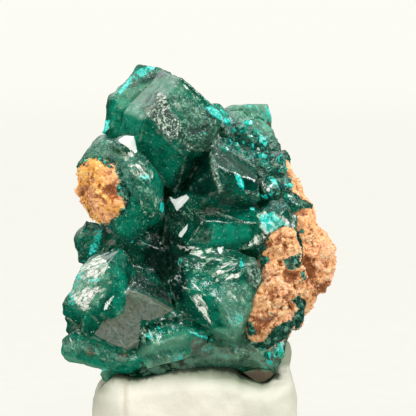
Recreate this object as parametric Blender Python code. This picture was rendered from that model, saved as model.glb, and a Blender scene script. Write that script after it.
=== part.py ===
"""Dioptase specimen: emerald green crystals grown together on ochre matrix, standing in a pad of putty.

The specimen is seen from -Y. The origin is on the flat underside of the putty, and +Z is up.
Every crystal is a six-sided prism closed at each end by three slanting faces, which is how dioptase
grows. A crystal is given by its centre, the way its long axis points and how far it is rolled about
that axis, so the cluster can be regrown with other sizes.
"""

import math
from collections import namedtuple

import bmesh
import bpy
from mathutils import Matrix, Vector, noise

MM = 0.001
TO_VIEWER = Vector((0.0, -1.0, 0.0))

# Crystal habit
PRISM_SIDES = 6
END_FACES = 3
CAP_ANGLE = math.radians(51.0)      # between the long axis and the normal of an end face

# Gaps and fits
GAP = 0.3 * MM
LUMP_ROOM = 0.42 * MM               # room round a rounded lump, which leaves GAP at its corners

# Putty pad
PUTTY_CENTRE = (-0.4 * MM, 0.3 * MM)
PUTTY_HALF_WIDTH = 9.7 * MM
PUTTY_HALF_DEPTH = 8.3 * MM
PUTTY_SQUARENESS = 3.6              # exponent of the superellipse that outlines the pad
PUTTY_TOP = 7.3 * MM
PUTTY_EDGE_ROUND = 1.9 * MM
# Share of the outline at each share of the height, up the side
PUTTY_WALL = ((0.94, 0.0), (0.985, 0.10), (1.0, 0.35), (0.995, 0.6))
PUTTY_SEGMENTS = 48
PUTTY_EDGE_STEPS = 4
PUTTY_TOP_STEPS = 7
PUTTY_DIP_DEPTH = 1.0 * MM
PUTTY_DIPS = ((5.9 * MM, 2.0 * MM), (-8.2 * MM, 3.2 * MM))      # place along X and width
PUTTY_MOUND_HEIGHT = 3.4 * MM
PUTTY_MOUND_CENTRE = (6.3 * MM, 3.4 * MM)
PUTTY_MOUND_WIDTHS = (2.4 * MM, 4.2 * MM)
HUMP_FLATNESS = 1.6                 # over 1 gives a flatter top and steeper sides

Crystal = namedtuple("Crystal", "name centre lean toward roll across length breaks", defaults=((),))
Break = namedtuple("Break", "lean toward depth")
Blob = namedtuple("Blob", "x y z radius")

# Centres, widths across the flats and lengths in mm. An axis leans from +X (0) up to +Z (90)
# and tips toward the viewer. Angles are in degrees.
CRYSTALS = (
    Crystal("top", (-2.8, -1.5, 29.7), 76, 35, -3, 8.0, 13.2),
    Crystal("top_right_rear", (1.1, 1.5, 29.7), 125, 10, 0, 4.2, 6.4),
    Crystal("top_left_rear", (-5.1, 2.5, 32.3), 50, -5, 60, 5.0, 8.0),
    Crystal("left_sliver", (-7.6, 2.0, 30.8), 82, 0, 10, 2.4, 5.4),
    Crystal("right_rear", (3.9, 4.5, 29.9), 40, 0, 0, 4.1, 7.0),
    Crystal("middle", (2.1, -1.5, 25.0), 101, 5, 25, 6.9, 9.4),
    Crystal("right_upper", (5.3, 2.0, 28.1), 140, 10, 0, 4.4, 6.5),
    Crystal("right_side", (6.1, 0.5, 25.3), 115, 20, 0, 4.2, 6.5),
    Crystal("right_low", (7.3, 0.3, 22.7), 150, 20, 0, 4.0, 6.0),
    Crystal("bar", (2.9, -2.5, 20.3), -2, 5, 0, 4.4, 11.0),
    Crystal("right_big", (2.0, -4.0, 14.9), 108, 10, -30, 8.4, 12.5, (Break(88, 20, 4.0),)),
    Crystal("left", (-6.9, -4.0, 24.5), 92, 0, 70, 6.6, 10.4),
    Crystal("left_shoulder", (-8.7, -2.0, 26.8), 60, 0, 10, 3.4, 5.4),
    Crystal("left_lower", (-9.0, -5.0, 15.1), 64, 0, 20, 5.2, 9.0, (Break(-73, 12, 2.7),)),
    Crystal("left_rear_small", (-10.2, 0.5, 19.1), 110, 0, 10, 3.2, 5.0),
    Crystal("left_foot", (-11.0, -4.0, 12.0), 80, 0, 10, 2.2, 3.6),
    Crystal("cave", (-5.6, 0.5, 18.1), 100, 10, 10, 7.0, 11.0),
    Crystal("grey", (-7.0, -2.5, 12.6), -23, 0, 0, 8.8, 14.9, (Break(170, 0, 3.6),)),
    Crystal("corner", (-8.4, -4.6, 9.5), 166, 0, 80, 3.4, 9.2),
    Crystal("front_low", (-2.6, -5.8, 10.6), 15, 0, 25, 3.8, 8.0),
    Crystal("front_shade", (-3.4, -5.6, 12.0), 17, 0, 8, 2.8, 6.4),
    Crystal("base_mid", (0.6, -3.5, 9.5), 0, 0, 20, 3.6, 9.0),
    Crystal("base_right", (3.7, -3.0, 10.1), 175, 0, 20, 4.0, 8.0),
    Crystal("base_left", (-4.6, -2.5, 8.6), 172, 0, 10, 3.0, 6.0),
    Crystal("spike", (-8.3, -1.5, 7.4), 60, 0, 10, 1.4, 3.0),
    Crystal("foot", (5.8, -2.0, 9.3), 83, 0, 15, 4.2, 6.6),
    Crystal("shield", (-1.8, -2.0, 22.7), 60, 30, 10, 2.6, 4.0),
    Crystal("mirror", (-6.6, -5.0, 28.3), 55, 10, 20, 2.4, 3.2),
    Crystal("chip_top", (3.4, 2.2, 30.0), 70, 20, 15, 2.6, 4.0),
    Crystal("chip_upper", (4.6, 0.4, 29.0), 120, 30, 40, 2.4, 3.6),
    Crystal("chip_ridge", (6.2, 0.2, 28.4), 60, 15, 5, 2.2, 3.2),
    Crystal("chip_side", (7.0, -0.8, 26.6), 100, 35, 25, 2.4, 3.6),
    Crystal("chip_edge", (7.6, -0.6, 24.4), 75, 20, 50, 2.2, 3.4),
    Crystal("chip_middle", (6.4, -1.8, 24.4), 130, 30, 10, 2.2, 3.0),
    Crystal("chip_bar", (6.9, -3.0, 21.7), 40, 25, 35, 2.8, 4.2),
    Crystal("chip_low", (8.0, -2.4, 21.0), 95, 20, 15, 2.4, 3.4),
    Crystal("behind_left", (-5.4, 2.0, 24.2), 70, -10, 25, 5.4, 8.0),
    Crystal("core", (-1.8, 2.5, 18.4), 80, 0, 10, 9.0, 14.0),
    Crystal("core_top", (-1.8, 3.5, 25.5), 110, 0, 40, 7.5, 11.0),
    Crystal("back_upper", (-2.0, 6.5, 25.5), 70, -30, 15, 6.4, 9.5),
    Crystal("back_left", (-6.5, 6.0, 20.5), 130, -20, 0, 5.6, 8.6),
    Crystal("back_mid", (1.0, 8.0, 19.0), 100, -50, 20, 6.8, 9.0),
    Crystal("back_low_left", (-6.0, 5.5, 13.0), 45, -15, 30, 6.4, 9.4),
    Crystal("back_low", (1.0, 5.5, 11.0), 160, -20, 10, 6.6, 10.0),
)

# Rounded masses of matrix, in mm
MATRIX_BACK = (
    Blob(7.5, 1.8, 26.4, 1.3), Blob(7.8, 2.4, 24.8, 1.7), Blob(8.3, 2.9, 22.5, 2.3),
    Blob(9.4, 2.4, 18.8, 3.1), Blob(10.7, 2.6, 17.4, 2.8), Blob(8.8, 2.6, 14.4, 2.5),
    Blob(8.6, 1.6, 12.8, 1.7), Blob(8.0, 5.6, 18.6, 3.3), Blob(7.6, 4.6, 23.4, 2.4),
    Blob(7.6, 4.9, 14.9, 2.7), Blob(11.2, 0.9, 18.0, 1.7), Blob(10.7, 3.8, 16.2, 2.0),
    Blob(9.4, 0.6, 20.6, 1.7), Blob(9.3, 4.4, 20.6, 2.4), Blob(9.6, 1.2, 15.2, 1.8),
    Blob(8.2, 4.0, 21.6, 2.7), Blob(8.6, 4.0, 16.6, 3.1),
)
MATRIX_FRONT = (
    Blob(7.8, -4.0, 19.2, 1.5), Blob(7.1, -4.2, 18.4, 1.1), Blob(7.8, -4.6, 16.8, 1.7),
    Blob(7.1, -5.2, 14.5, 2.1), Blob(5.9, -5.8, 13.9, 1.3), Blob(6.3, -5.6, 12.5, 1.9),
    Blob(5.6, -5.4, 11.2, 1.2), Blob(8.1, -3.8, 13.6, 1.6), Blob(8.4, -4.4, 15.6, 1.1),
    Blob(7.6, -4.6, 12.6, 1.1),
)
MATRIX_LEFT = (
    Blob(-9.2, -6.0, 26.0, 1.6), Blob(-9.7, -5.6, 24.6, 1.7), Blob(-8.6, -6.6, 23.2, 1.6),
    Blob(-8.0, -6.4, 24.6, 1.5), Blob(-8.6, -6.8, 25.4, 1.2), Blob(-9.6, -6.2, 23.4, 1.2),
    Blob(-9.9, -5.2, 25.2, 1.3),
)
LUMP_VOXEL = 0.45 * MM
LUMP_SOFTENING = 9                  # smoothing passes that melt the balls together
LUMP_TRIANGLES = 1400
KNOBS = ((1.9 * MM, 0.55 * MM), (0.9 * MM, 0.34 * MM))          # size and height, coarse and fine

# Colours, as linear RGB
GREEN = (0.004, 0.120, 0.062)
OCHRE = (0.680, 0.340, 0.150)
OFF_WHITE = (0.780, 0.740, 0.600)


def clear_scene():
    for item in list(bpy.data.objects):
        bpy.data.objects.remove(item, do_unlink=True)


def make_material(name, colour, roughness):
    material = bpy.data.materials.new(name)
    material.use_nodes = True
    shader = material.node_tree.nodes["Principled BSDF"]
    shader.inputs["Base Color"].default_value = (*colour, 1.0)
    shader.inputs["Roughness"].default_value = roughness
    shader.inputs["Metallic"].default_value = 0.0
    material.diffuse_color = (*colour, 1.0)
    return material


def object_from_bmesh(name, bm):
    mesh = bpy.data.meshes.new(name)
    bm.to_mesh(mesh)
    bm.free()
    item = bpy.data.objects.new(name, mesh)
    bpy.context.scene.collection.objects.link(item)
    return item


def evaluated_mesh(item):
    """The object's mesh with its modifiers applied; the object itself is removed."""
    graph = bpy.context.evaluated_depsgraph_get()
    mesh = bpy.data.meshes.new_from_object(item.evaluated_get(graph))
    bpy.data.objects.remove(item, do_unlink=True)
    return mesh


def object_from_mesh(name, mesh):
    item = bpy.data.objects.new(name, mesh)
    bpy.context.scene.collection.objects.link(item)
    return item


def direction(lean, toward):
    """Unit vector that leans from +X up to +Z and tips toward the viewer."""
    lean = math.radians(lean)
    toward = math.radians(toward)
    level = math.cos(toward)
    return Vector((level * math.cos(lean), -math.sin(toward), level * math.sin(lean)))


def crystal_planes(crystal):
    """Face normals of a crystal with their distances from its centre."""
    axis = direction(crystal.lean, crystal.toward)
    front = (TO_VIEWER - axis * TO_VIEWER.dot(axis)).normalized()
    side = axis.cross(front)
    roll = math.radians(crystal.roll)

    def outward(angle):
        return math.cos(angle + roll) * front + math.sin(angle + roll) * side

    planes = []
    for index in range(PRISM_SIDES):
        planes.append((outward(index * math.tau / PRISM_SIDES), crystal.across / 2 * MM))
    end_distance = crystal.length / 2 * math.cos(CAP_ANGLE) * MM
    for end in (1, -1):
        for index in range(END_FACES):
            turn = math.radians(30 if end > 0 else 90) + index * math.tau / END_FACES
            normal = math.sin(CAP_ANGLE) * outward(turn) + end * math.cos(CAP_ANGLE) * axis
            planes.append((normal, end_distance))
    for broken in crystal.breaks:
        planes.append((direction(broken.lean, broken.toward), broken.depth * MM))
    return planes


def crystal_object(crystal, grow=0.0):
    """A block cut down by the crystal's planes, each moved out by grow."""
    bm = bmesh.new()
    bmesh.ops.create_cube(bm, size=3 * crystal.length * MM)
    for normal, distance in crystal_planes(crystal):
        geometry = bm.verts[:] + bm.edges[:] + bm.faces[:]
        bmesh.ops.bisect_plane(bm, geom=geometry, dist=1e-8, plane_co=normal * (distance + grow),
                               plane_no=normal, clear_outer=True)
        open_edges = [edge for edge in bm.edges if edge.is_boundary]
        bmesh.ops.holes_fill(bm, edges=open_edges, sides=0)
    bmesh.ops.remove_doubles(bm, verts=bm.verts[:], dist=1e-6)
    bmesh.ops.translate(bm, verts=bm.verts[:], vec=Vector(crystal.centre) * MM)
    bmesh.ops.recalc_face_normals(bm, faces=bm.faces[:])
    return object_from_bmesh("crystal_" + crystal.name, bm)


def add_boolean(item, cutter, operation):
    modifier = item.modifiers.new(operation.lower(), "BOOLEAN")
    modifier.operation = operation
    modifier.solver = "EXACT"
    modifier.object = cutter
    cutter.hide_render = True
    cutter.display_type = "WIRE"


def apply_booleans(item, cutters):
    """Swaps the object's mesh for the evaluated one and removes the cutters."""
    name = item.name
    mesh = evaluated_mesh(item)
    for cutter in cutters:
        bpy.data.objects.remove(cutter, do_unlink=True)
    return object_from_mesh(name, mesh)


def shell_faces(bm):
    """Groups of faces that hang together."""
    left = set(bm.faces)
    while left:
        shell = [left.pop()]
        for face in shell:
            for edge in face.edges:
                for neighbour in edge.link_faces:
                    if neighbour in left:
                        left.remove(neighbour)
                        shell.append(neighbour)
        yield shell


def signed_volume(faces):
    total = 0.0
    for face in faces:
        start = face.verts[0].co
        for first, second in zip(face.verts[1:-1], face.verts[2:]):
            total += start.dot(first.co.cross(second.co)) / 6
    return total


def keep_main_body(item):
    """Keeps the largest shell, which fills closed pockets and drops splinters that a cut set free."""
    bm = bmesh.new()
    bm.from_mesh(item.data)
    shells = sorted(shell_faces(bm), key=signed_volume)
    spare = [face for shell in shells[:-1] for face in shell]
    bmesh.ops.delete(bm, geom=spare, context="FACES")
    loose = [vert for vert in bm.verts if not vert.link_faces]
    bmesh.ops.delete(bm, geom=loose, context="VERTS")
    bm.to_mesh(item.data)
    bm.free()


def lump_object(name, blobs):
    """Overlapping balls melted into one mass with a knobbly surface."""
    bm = bmesh.new()
    for blob in blobs:
        place = Matrix.Translation(Vector((blob.x, blob.y, blob.z)) * MM)
        bmesh.ops.create_icosphere(bm, subdivisions=3, radius=blob.radius * MM, matrix=place)
    item = object_from_bmesh(name, bm)
    remesh = item.modifiers.new("melt", "REMESH")
    remesh.mode = "VOXEL"
    remesh.voxel_size = LUMP_VOXEL
    smooth = item.modifiers.new("soften", "SMOOTH")
    smooth.factor = 0.5
    smooth.iterations = LUMP_SOFTENING
    triangulate = item.modifiers.new("triangles", "TRIANGULATE")
    triangulate.quad_method = "BEAUTY"
    graph = bpy.context.evaluated_depsgraph_get()
    count = len(item.evaluated_get(graph).data.polygons)
    decimate = item.modifiers.new("thin", "DECIMATE")
    decimate.ratio = min(1.0, LUMP_TRIANGLES / count)
    item = object_from_mesh(name, evaluated_mesh(item))
    heights = []
    for vert in item.data.vertices:
        heights.append(sum(height * noise.noise(vert.co / size) for size, height in KNOBS))
    normals = [vert.normal.copy() for vert in item.data.vertices]
    for vert, normal, height in zip(item.data.vertices, normals, heights):
        vert.co += normal * height
    return item


def grown_copy(item, grow):
    """A copy of a closed mesh with every corner moved out along its normal."""
    mesh = item.data.copy()
    for vert in mesh.vertices:
        vert.co = vert.co + item.data.vertices[vert.index].normal * grow
    return object_from_mesh(item.name + "_room", mesh)


def build_cluster(lumps):
    """All crystals joined in one solid, with a pocket for each mass of matrix."""
    crystals = [crystal_object(crystal) for crystal in CRYSTALS]
    cluster = crystals[0]
    for other in crystals[1:]:
        add_boolean(cluster, other, "UNION")
    cluster = apply_booleans(cluster, crystals[1:])
    keep_main_body(cluster)
    rooms = [grown_copy(lump, LUMP_ROOM) for lump in lumps]
    for room in rooms:
        add_boolean(cluster, room, "DIFFERENCE")
    cluster = apply_booleans(cluster, rooms)
    keep_main_body(cluster)
    cluster.name = "crystal_cluster"
    return cluster


def hump(*offsets):
    """Flat-topped hill of height 1 that falls away as the offsets, each over its width, near 1."""
    return math.exp(-sum(offset ** 2 for offset in offsets) ** HUMP_FLATNESS)


def putty_top(x, y):
    """Height of the pad's upper face: pressed down under the feet, squeezed up at the right rear."""
    height = PUTTY_TOP
    for place, width in PUTTY_DIPS:
        height -= PUTTY_DIP_DEPTH * hump((x - place) / width)
    across = (x - PUTTY_MOUND_CENTRE[0]) / PUTTY_MOUND_WIDTHS[0]
    along = (y - PUTTY_MOUND_CENTRE[1]) / PUTTY_MOUND_WIDTHS[1]
    return height + PUTTY_MOUND_HEIGHT * hump(across, along)


def putty_outline(angle):
    power = 2 / PUTTY_SQUARENESS
    x = math.copysign(abs(math.cos(angle)) ** power, math.cos(angle))
    y = math.copysign(abs(math.sin(angle)) ** power, math.sin(angle))
    return PUTTY_HALF_WIDTH * x, PUTTY_HALF_DEPTH * y


def build_putty():
    """A squarish pad: flat underside, bulging side, rounded edge and pressed top, built as rings."""
    bm = bmesh.new()
    rings = []

    def ring(scale, height):
        verts = []
        for index in range(PUTTY_SEGMENTS):
            x, y = putty_outline(math.tau * index / PUTTY_SEGMENTS)
            x = PUTTY_CENTRE[0] + x * scale
            y = PUTTY_CENTRE[1] + y * scale
            verts.append(bm.verts.new((x, y, height(x, y))))
        rings.append(verts)

    for scale, level in PUTTY_WALL:
        ring(scale, lambda x, y, level=level: level * putty_top(x, y))
    round_scale = PUTTY_EDGE_ROUND / PUTTY_HALF_WIDTH
    for step in range(1, PUTTY_EDGE_STEPS + 1):
        turn = math.pi / 2 * step / PUTTY_EDGE_STEPS
        drop = PUTTY_EDGE_ROUND * (1 - math.sin(turn))
        ring(1 - round_scale * (1 - math.cos(turn)), lambda x, y, drop=drop: putty_top(x, y) - drop)
    inner = 1 - round_scale
    for step in range(1, PUTTY_TOP_STEPS):
        ring(inner * (1 - step / PUTTY_TOP_STEPS), putty_top)
    for lower, upper in zip(rings, rings[1:]):
        for index in range(PUTTY_SEGMENTS):
            after = (index + 1) % PUTTY_SEGMENTS
            bm.faces.new((lower[index], lower[after], upper[after], upper[index]))
    centre = bm.verts.new((*PUTTY_CENTRE, putty_top(*PUTTY_CENTRE)))
    for index in range(PUTTY_SEGMENTS):
        bm.faces.new((rings[-1][index], rings[-1][(index + 1) % PUTTY_SEGMENTS], centre))
    bm.faces.new(list(reversed(rings[0])))
    bmesh.ops.recalc_face_normals(bm, faces=bm.faces[:])
    return object_from_bmesh("mounting_putty", bm)


def press_into_putty(putty):
    """Leaves the print of every crystal that reaches down into the pad."""
    prints = []
    reach = PUTTY_TOP + PUTTY_MOUND_HEIGHT
    for crystal in CRYSTALS:
        lowest = crystal.centre[2] * MM - crystal.length / 2 * MM
        if lowest < reach:
            prints.append(crystal_object(crystal, grow=GAP))
    for cutter in prints:
        add_boolean(putty, cutter, "DIFFERENCE")
    putty = apply_booleans(putty, prints)
    keep_main_body(putty)
    return putty


def finish(item, material):
    item.data.materials.clear()
    item.data.materials.append(material)
    for polygon in item.data.polygons:
        polygon.material_index = 0


def main():
    clear_scene()
    green = make_material("crystal", GREEN, 0.12)
    ochre = make_material("matrix", OCHRE, 0.85)
    white = make_material("putty", OFF_WHITE, 0.6)
    lumps = [
        lump_object("matrix_back", MATRIX_BACK),
        lump_object("matrix_front", MATRIX_FRONT),
        lump_object("matrix_left", MATRIX_LEFT),
    ]
    cluster = build_cluster(lumps)
    putty = press_into_putty(build_putty())
    finish(cluster, green)
    for lump in lumps:
        finish(lump, ochre)
    finish(putty, white)
    for polygon in putty.data.polygons:
        polygon.use_smooth = True
    putty.data.set_sharp_from_angle(angle=math.radians(40))


main()
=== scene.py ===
"""Dioptase specimen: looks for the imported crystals, matrix and putty pad, laid out as an add-on."""

import math

import bmesh
import bpy
import numpy as np
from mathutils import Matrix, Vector, noise
from mathutils.bvhtree import BVHTree
from mathutils.geometry import delaunay_2d_cdt


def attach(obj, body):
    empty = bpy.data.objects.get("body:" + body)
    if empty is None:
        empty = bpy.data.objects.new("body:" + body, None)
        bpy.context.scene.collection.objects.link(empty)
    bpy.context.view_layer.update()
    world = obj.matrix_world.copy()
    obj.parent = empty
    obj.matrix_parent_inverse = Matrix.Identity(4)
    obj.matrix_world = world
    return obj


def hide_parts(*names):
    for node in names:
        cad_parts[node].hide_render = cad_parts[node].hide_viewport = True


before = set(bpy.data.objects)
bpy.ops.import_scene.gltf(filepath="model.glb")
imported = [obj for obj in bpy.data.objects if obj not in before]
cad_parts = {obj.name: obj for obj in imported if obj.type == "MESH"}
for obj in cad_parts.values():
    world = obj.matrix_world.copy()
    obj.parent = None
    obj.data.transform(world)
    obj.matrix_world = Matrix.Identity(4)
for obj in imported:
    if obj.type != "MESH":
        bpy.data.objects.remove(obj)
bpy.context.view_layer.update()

bl_info = {
    "name": "Dioptase specimen",
    "version": (1, 0, 0),
    "blender": (4, 5, 0),
    "location": "View3D > Sidebar > Specimen",
    "description": "Builds the crystals, matrix and putty of a dioptase specimen on its packed model",
    "category": "Object",
}

MM = 0.001
BODY = "root"
BLACK = (0.0, 0.0, 0.0)
DIOPTASE_IOR = 1.67
# Points nearer than this are one, and points this far below the surface still count as seen
MERGE_DISTANCE = 2e-6
SEEN_WITHIN = 0.08 * MM
# Triangles on faces turned away from the camera, edges that stay sharp and the band along them that takes a
# painted highlight
BACK_DETAIL = 0.42 * MM
SHARP_ANGLE = math.radians(38)
EDGE_HIGHLIGHT_BAND = 0.22 * MM
# How softly a patch of matrix ends, in picture units
PATCH_SOFTNESS = 4.0

# Camera, as the picture was taken: sizes in picture units, of which the frame has 416 each way
FRAME_SIZE = 416
FOCAL_LENGTH = 2773
AIM = Vector((0.85, 0.0, 22.5)) * MM
CAMERA_DISTANCE = 261.5 * MM
CAMERA_LIFT = math.radians(4.0)
PICTURE_UNIT = CAMERA_DISTANCE / FOCAL_LENGTH

# Facets marked on the picture. Each row is strength, softness and the outline's corners,
# x then y, in picture units.
# Etched patches: real etch lines and steps; the pale and white crests on them are painted sheen and
# highlights
ETCHED = (
    (1.0, 1.5, 142, 107, 151, 105, 155, 100, 155, 94, 165, 91, 168, 100, 172, 112, 182, 122, 181, 130, 178,
     139, 169, 140, 160, 131, 154, 122, 146, 115),
    (0.58, 5.0, 176, 141, 181, 122, 186, 108, 202, 104, 216, 112, 224, 126, 222, 140, 212, 148, 200, 154,
     186, 151),
    (0.95, 1.0, 184, 141, 196, 149, 208, 148, 216, 140, 217, 143, 208, 151, 196, 152, 183, 145),
    (0.4, 3.0, 86, 148, 108, 142, 134, 154, 150, 166, 158, 196, 142, 206, 124, 190, 113, 168),
    (0.4, 2.5, 62, 338, 90, 342, 92, 356, 64, 358),
    (0.35, 2.5, 118, 80, 140, 68, 153, 66, 160, 72, 132, 88, 120, 96),
    (0.6, 2.0, 247, 257, 266, 254, 271, 265, 266, 275, 255, 291, 249, 286, 245, 274),
    (0.4, 2.5, 222, 282, 250, 284, 252, 300, 250, 326, 226, 328, 216, 304),
    (0.25, 4.0, 208, 150, 232, 148, 238, 162, 236, 178, 230, 198, 218, 198, 212, 175),
    (0.52, 4.0, 162, 92, 178, 92, 194, 103, 200, 112, 186, 122, 176, 112, 166, 100),
    (0.9, 1.5, 208, 151, 213, 152, 218, 172, 225, 195, 219, 195, 212, 176),
    (0.85, 0.8, 231, 150, 246, 157, 258, 166, 267, 181, 265, 182, 256, 169, 244, 160, 231, 152),
    (0.85, 0.8, 212, 208, 227, 214, 244, 221, 243, 222, 225, 217, 210, 211),
    (0.6, 1.2, 244, 190, 262, 194, 264, 199, 246, 196),
    (0.44, 4.0, 192, 334, 236, 330, 262, 326, 280, 344, 262, 368, 196, 364),
    (0.5, 2.5, 244, 342, 262, 338, 276, 350, 270, 362, 252, 356),
    (0.3, 2.5, 150, 352, 196, 356, 240, 366, 240, 374, 150, 374),
    (0.38, 2.0, 126, 286, 130, 276, 141, 274, 165, 288, 173, 303, 155, 298, 140, 292),
    (0.42, 3.0, 62, 336, 86, 340, 118, 352, 140, 360, 110, 362, 84, 354, 62, 350),
)
# Painted sheen: satin green where faces mirror the soft light, and on the lowest faces to lighten them
SHEEN = (
    (0.35, 3.0, 116, 94, 140, 102, 148, 104, 148, 118, 134, 118, 118, 108),
    (0.85, 4.0, 192, 338, 236, 342, 262, 337, 282, 344, 278, 364, 262, 371, 236, 367, 194, 367),
    (0.6, 4.0, 146, 360, 166, 354, 192, 354, 192, 368, 166, 372, 146, 376),
    (0.4, 4.0, 160, 92, 178, 90, 196, 102, 206, 116, 190, 124, 176, 112, 164, 100),
    (0.55, 2.0, 120, 92, 133, 87, 148, 82, 163, 77, 173, 76, 179, 79, 163, 86, 152, 94, 146, 100, 137, 103,
     125, 96),
    (0.55, 2.5, 163, 84, 178, 79, 188, 88, 184, 96, 168, 94, 160, 90),
    (0.75, 2.0, 228, 109, 235, 105, 262, 103, 268, 107, 262, 113, 250, 116, 236, 117),
    (0.58, 3.0, 228, 104, 262, 101, 272, 106, 275, 126, 272, 136, 256, 126, 236, 118),
    (0.35, 3.0, 70, 276, 84, 262, 98, 256, 108, 264, 112, 282, 100, 304, 84, 314, 72, 306, 68, 290),
    (0.3, 3.0, 86, 146, 104, 140, 114, 146, 108, 158, 86, 162),
    (0.62, 3.0, 139, 353, 144, 345, 165, 339, 186, 334, 188, 346, 166, 352, 142, 357),
    (0.55, 2.0, 210, 330, 236, 326, 262, 327, 258, 338, 236, 343, 212, 341),
    (0.7, 1.5, 62, 354, 80, 360, 102, 367, 112, 372, 106, 384, 98, 372, 78, 364, 61, 358),
    (0.78, 3.5, 222, 302, 249, 305, 249, 328, 232, 330, 222, 318),
    (0.4, 2.5, 227, 285, 249, 282, 252, 293, 244, 306, 225, 305),
    (0.4, 2.0, 262, 340, 274, 334, 286, 338, 280, 350, 264, 352),
    (0.35, 2.0, 236, 362, 256, 358, 276, 362, 272, 370, 244, 370),
    (0.3, 2.0, 146, 360, 166, 358, 168, 370, 146, 374),
)
# Broken faces: random shards, of which the pale and white ones are painted reflections of the lamps
SHARDS = (
    (0.9, 1.5, 118, 147, 126, 145, 134, 153, 144, 163, 153, 172, 155, 180, 144, 180, 134, 172, 124, 160),
    (0.34, 4.0, 92, 150, 118, 146, 140, 170, 156, 184, 160, 200, 148, 206, 132, 196, 122, 184, 112, 168),
    (0.7, 1.5, 128, 164, 140, 172, 150, 184, 148, 196, 138, 190, 130, 176),
    (0.46, 3.0, 160, 88, 178, 88, 196, 101, 206, 116, 190, 124, 176, 112, 164, 100),
    (0.36, 3.0, 108, 218, 124, 204, 148, 200, 148, 225, 133, 242, 116, 234),
    (0.44, 3.0, 62, 336, 86, 340, 118, 352, 140, 360, 120, 366, 84, 358, 62, 352),
    (0.55, 2.0, 240, 108, 256, 106, 264, 112, 264, 126, 252, 120),
    (0.6, 1.2, 136, 196, 148, 190, 160, 200, 158, 212, 148, 222, 142, 210),
    (1.0, 1.2, 190, 295, 200, 293, 206, 303, 214, 328, 208, 322, 198, 308, 191, 300),
    (1.0, 1.5, 256, 214, 264, 210, 276, 212, 288, 219, 294, 226, 288, 232, 280, 230, 276, 236, 268, 236,
     260, 228),
    (1.0, 1.2, 241, 247, 252, 239, 258, 233, 272, 233, 277, 236, 266, 245, 255, 245, 244, 252),
    (0.6, 2.0, 247, 257, 266, 254, 271, 265, 266, 275, 255, 291, 249, 286, 245, 274),
    (0.5, 2.0, 227, 285, 249, 282, 252, 293, 244, 306, 225, 305),
    (0.42, 2.0, 225, 306, 249, 307, 249, 326, 232, 328, 222, 318),
    (0.46, 2.0, 228, 105, 268, 104, 272, 130, 262, 130, 244, 124, 230, 114),
    (0.52, 3.0, 214, 344, 236, 344, 262, 340, 278, 350, 262, 362, 236, 360),
    (0.5, 2.0, 146, 344, 166, 337, 186, 333, 186, 338, 166, 343, 148, 350),
    (0.5, 2.0, 144, 354, 166, 350, 188, 346, 190, 354, 166, 360, 146, 362),
    (0.8, 1.5, 274, 336, 286, 336, 286, 360, 272, 362),
    (0.46, 1.5, 142, 334, 146, 326, 163, 321, 185, 327, 185, 333, 172, 334, 150, 342, 142, 345),
    (0.55, 2.0, 120, 84, 140, 67, 153, 65, 158, 70, 140, 80, 122, 92),
    (0.55, 2.0, 168, 80, 180, 80, 192, 92, 206, 104, 198, 108, 182, 100),
    (0.42, 2.0, 166, 212, 190, 204, 210, 206, 210, 216, 190, 222, 178, 240, 166, 240),
)
# Flakes: the same, with a flatter slope; their pale and white parts are painted reflections
FLAKES = (
    (1.32, 1.0, 92, 259, 100, 255, 108, 262, 111, 268, 103, 272, 97, 279, 88, 278, 85, 273),
    (1.32, 1.0, 77, 296, 88, 287, 98, 287, 101, 290, 93, 299, 87, 309, 78, 308, 75, 302),
    (0.74, 2.0, 70, 276, 84, 262, 98, 256, 108, 264, 112, 282, 100, 304, 84, 314, 72, 306, 68, 290),
    (1.05, 1.0, 176, 244, 188, 246, 200, 248, 206, 255, 206, 259, 193, 255, 179, 250),
    (1.0, 0.8, 203, 248, 214, 248, 217, 254, 207, 256),
    (0.9, 2.0, 199, 262, 210, 262, 225, 260, 236, 266, 242, 268, 240, 278, 226, 286, 216, 282, 206, 272),
    (0.72, 2.0, 205, 257, 224, 256, 238, 258, 240, 268, 225, 262, 206, 264),
    (0.5, 2.5, 76, 226, 92, 222, 104, 228, 100, 250, 84, 268, 76, 256),
    (0.42, 2.5, 166, 242, 186, 256, 206, 266, 220, 286, 196, 280, 172, 262),
)
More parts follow.
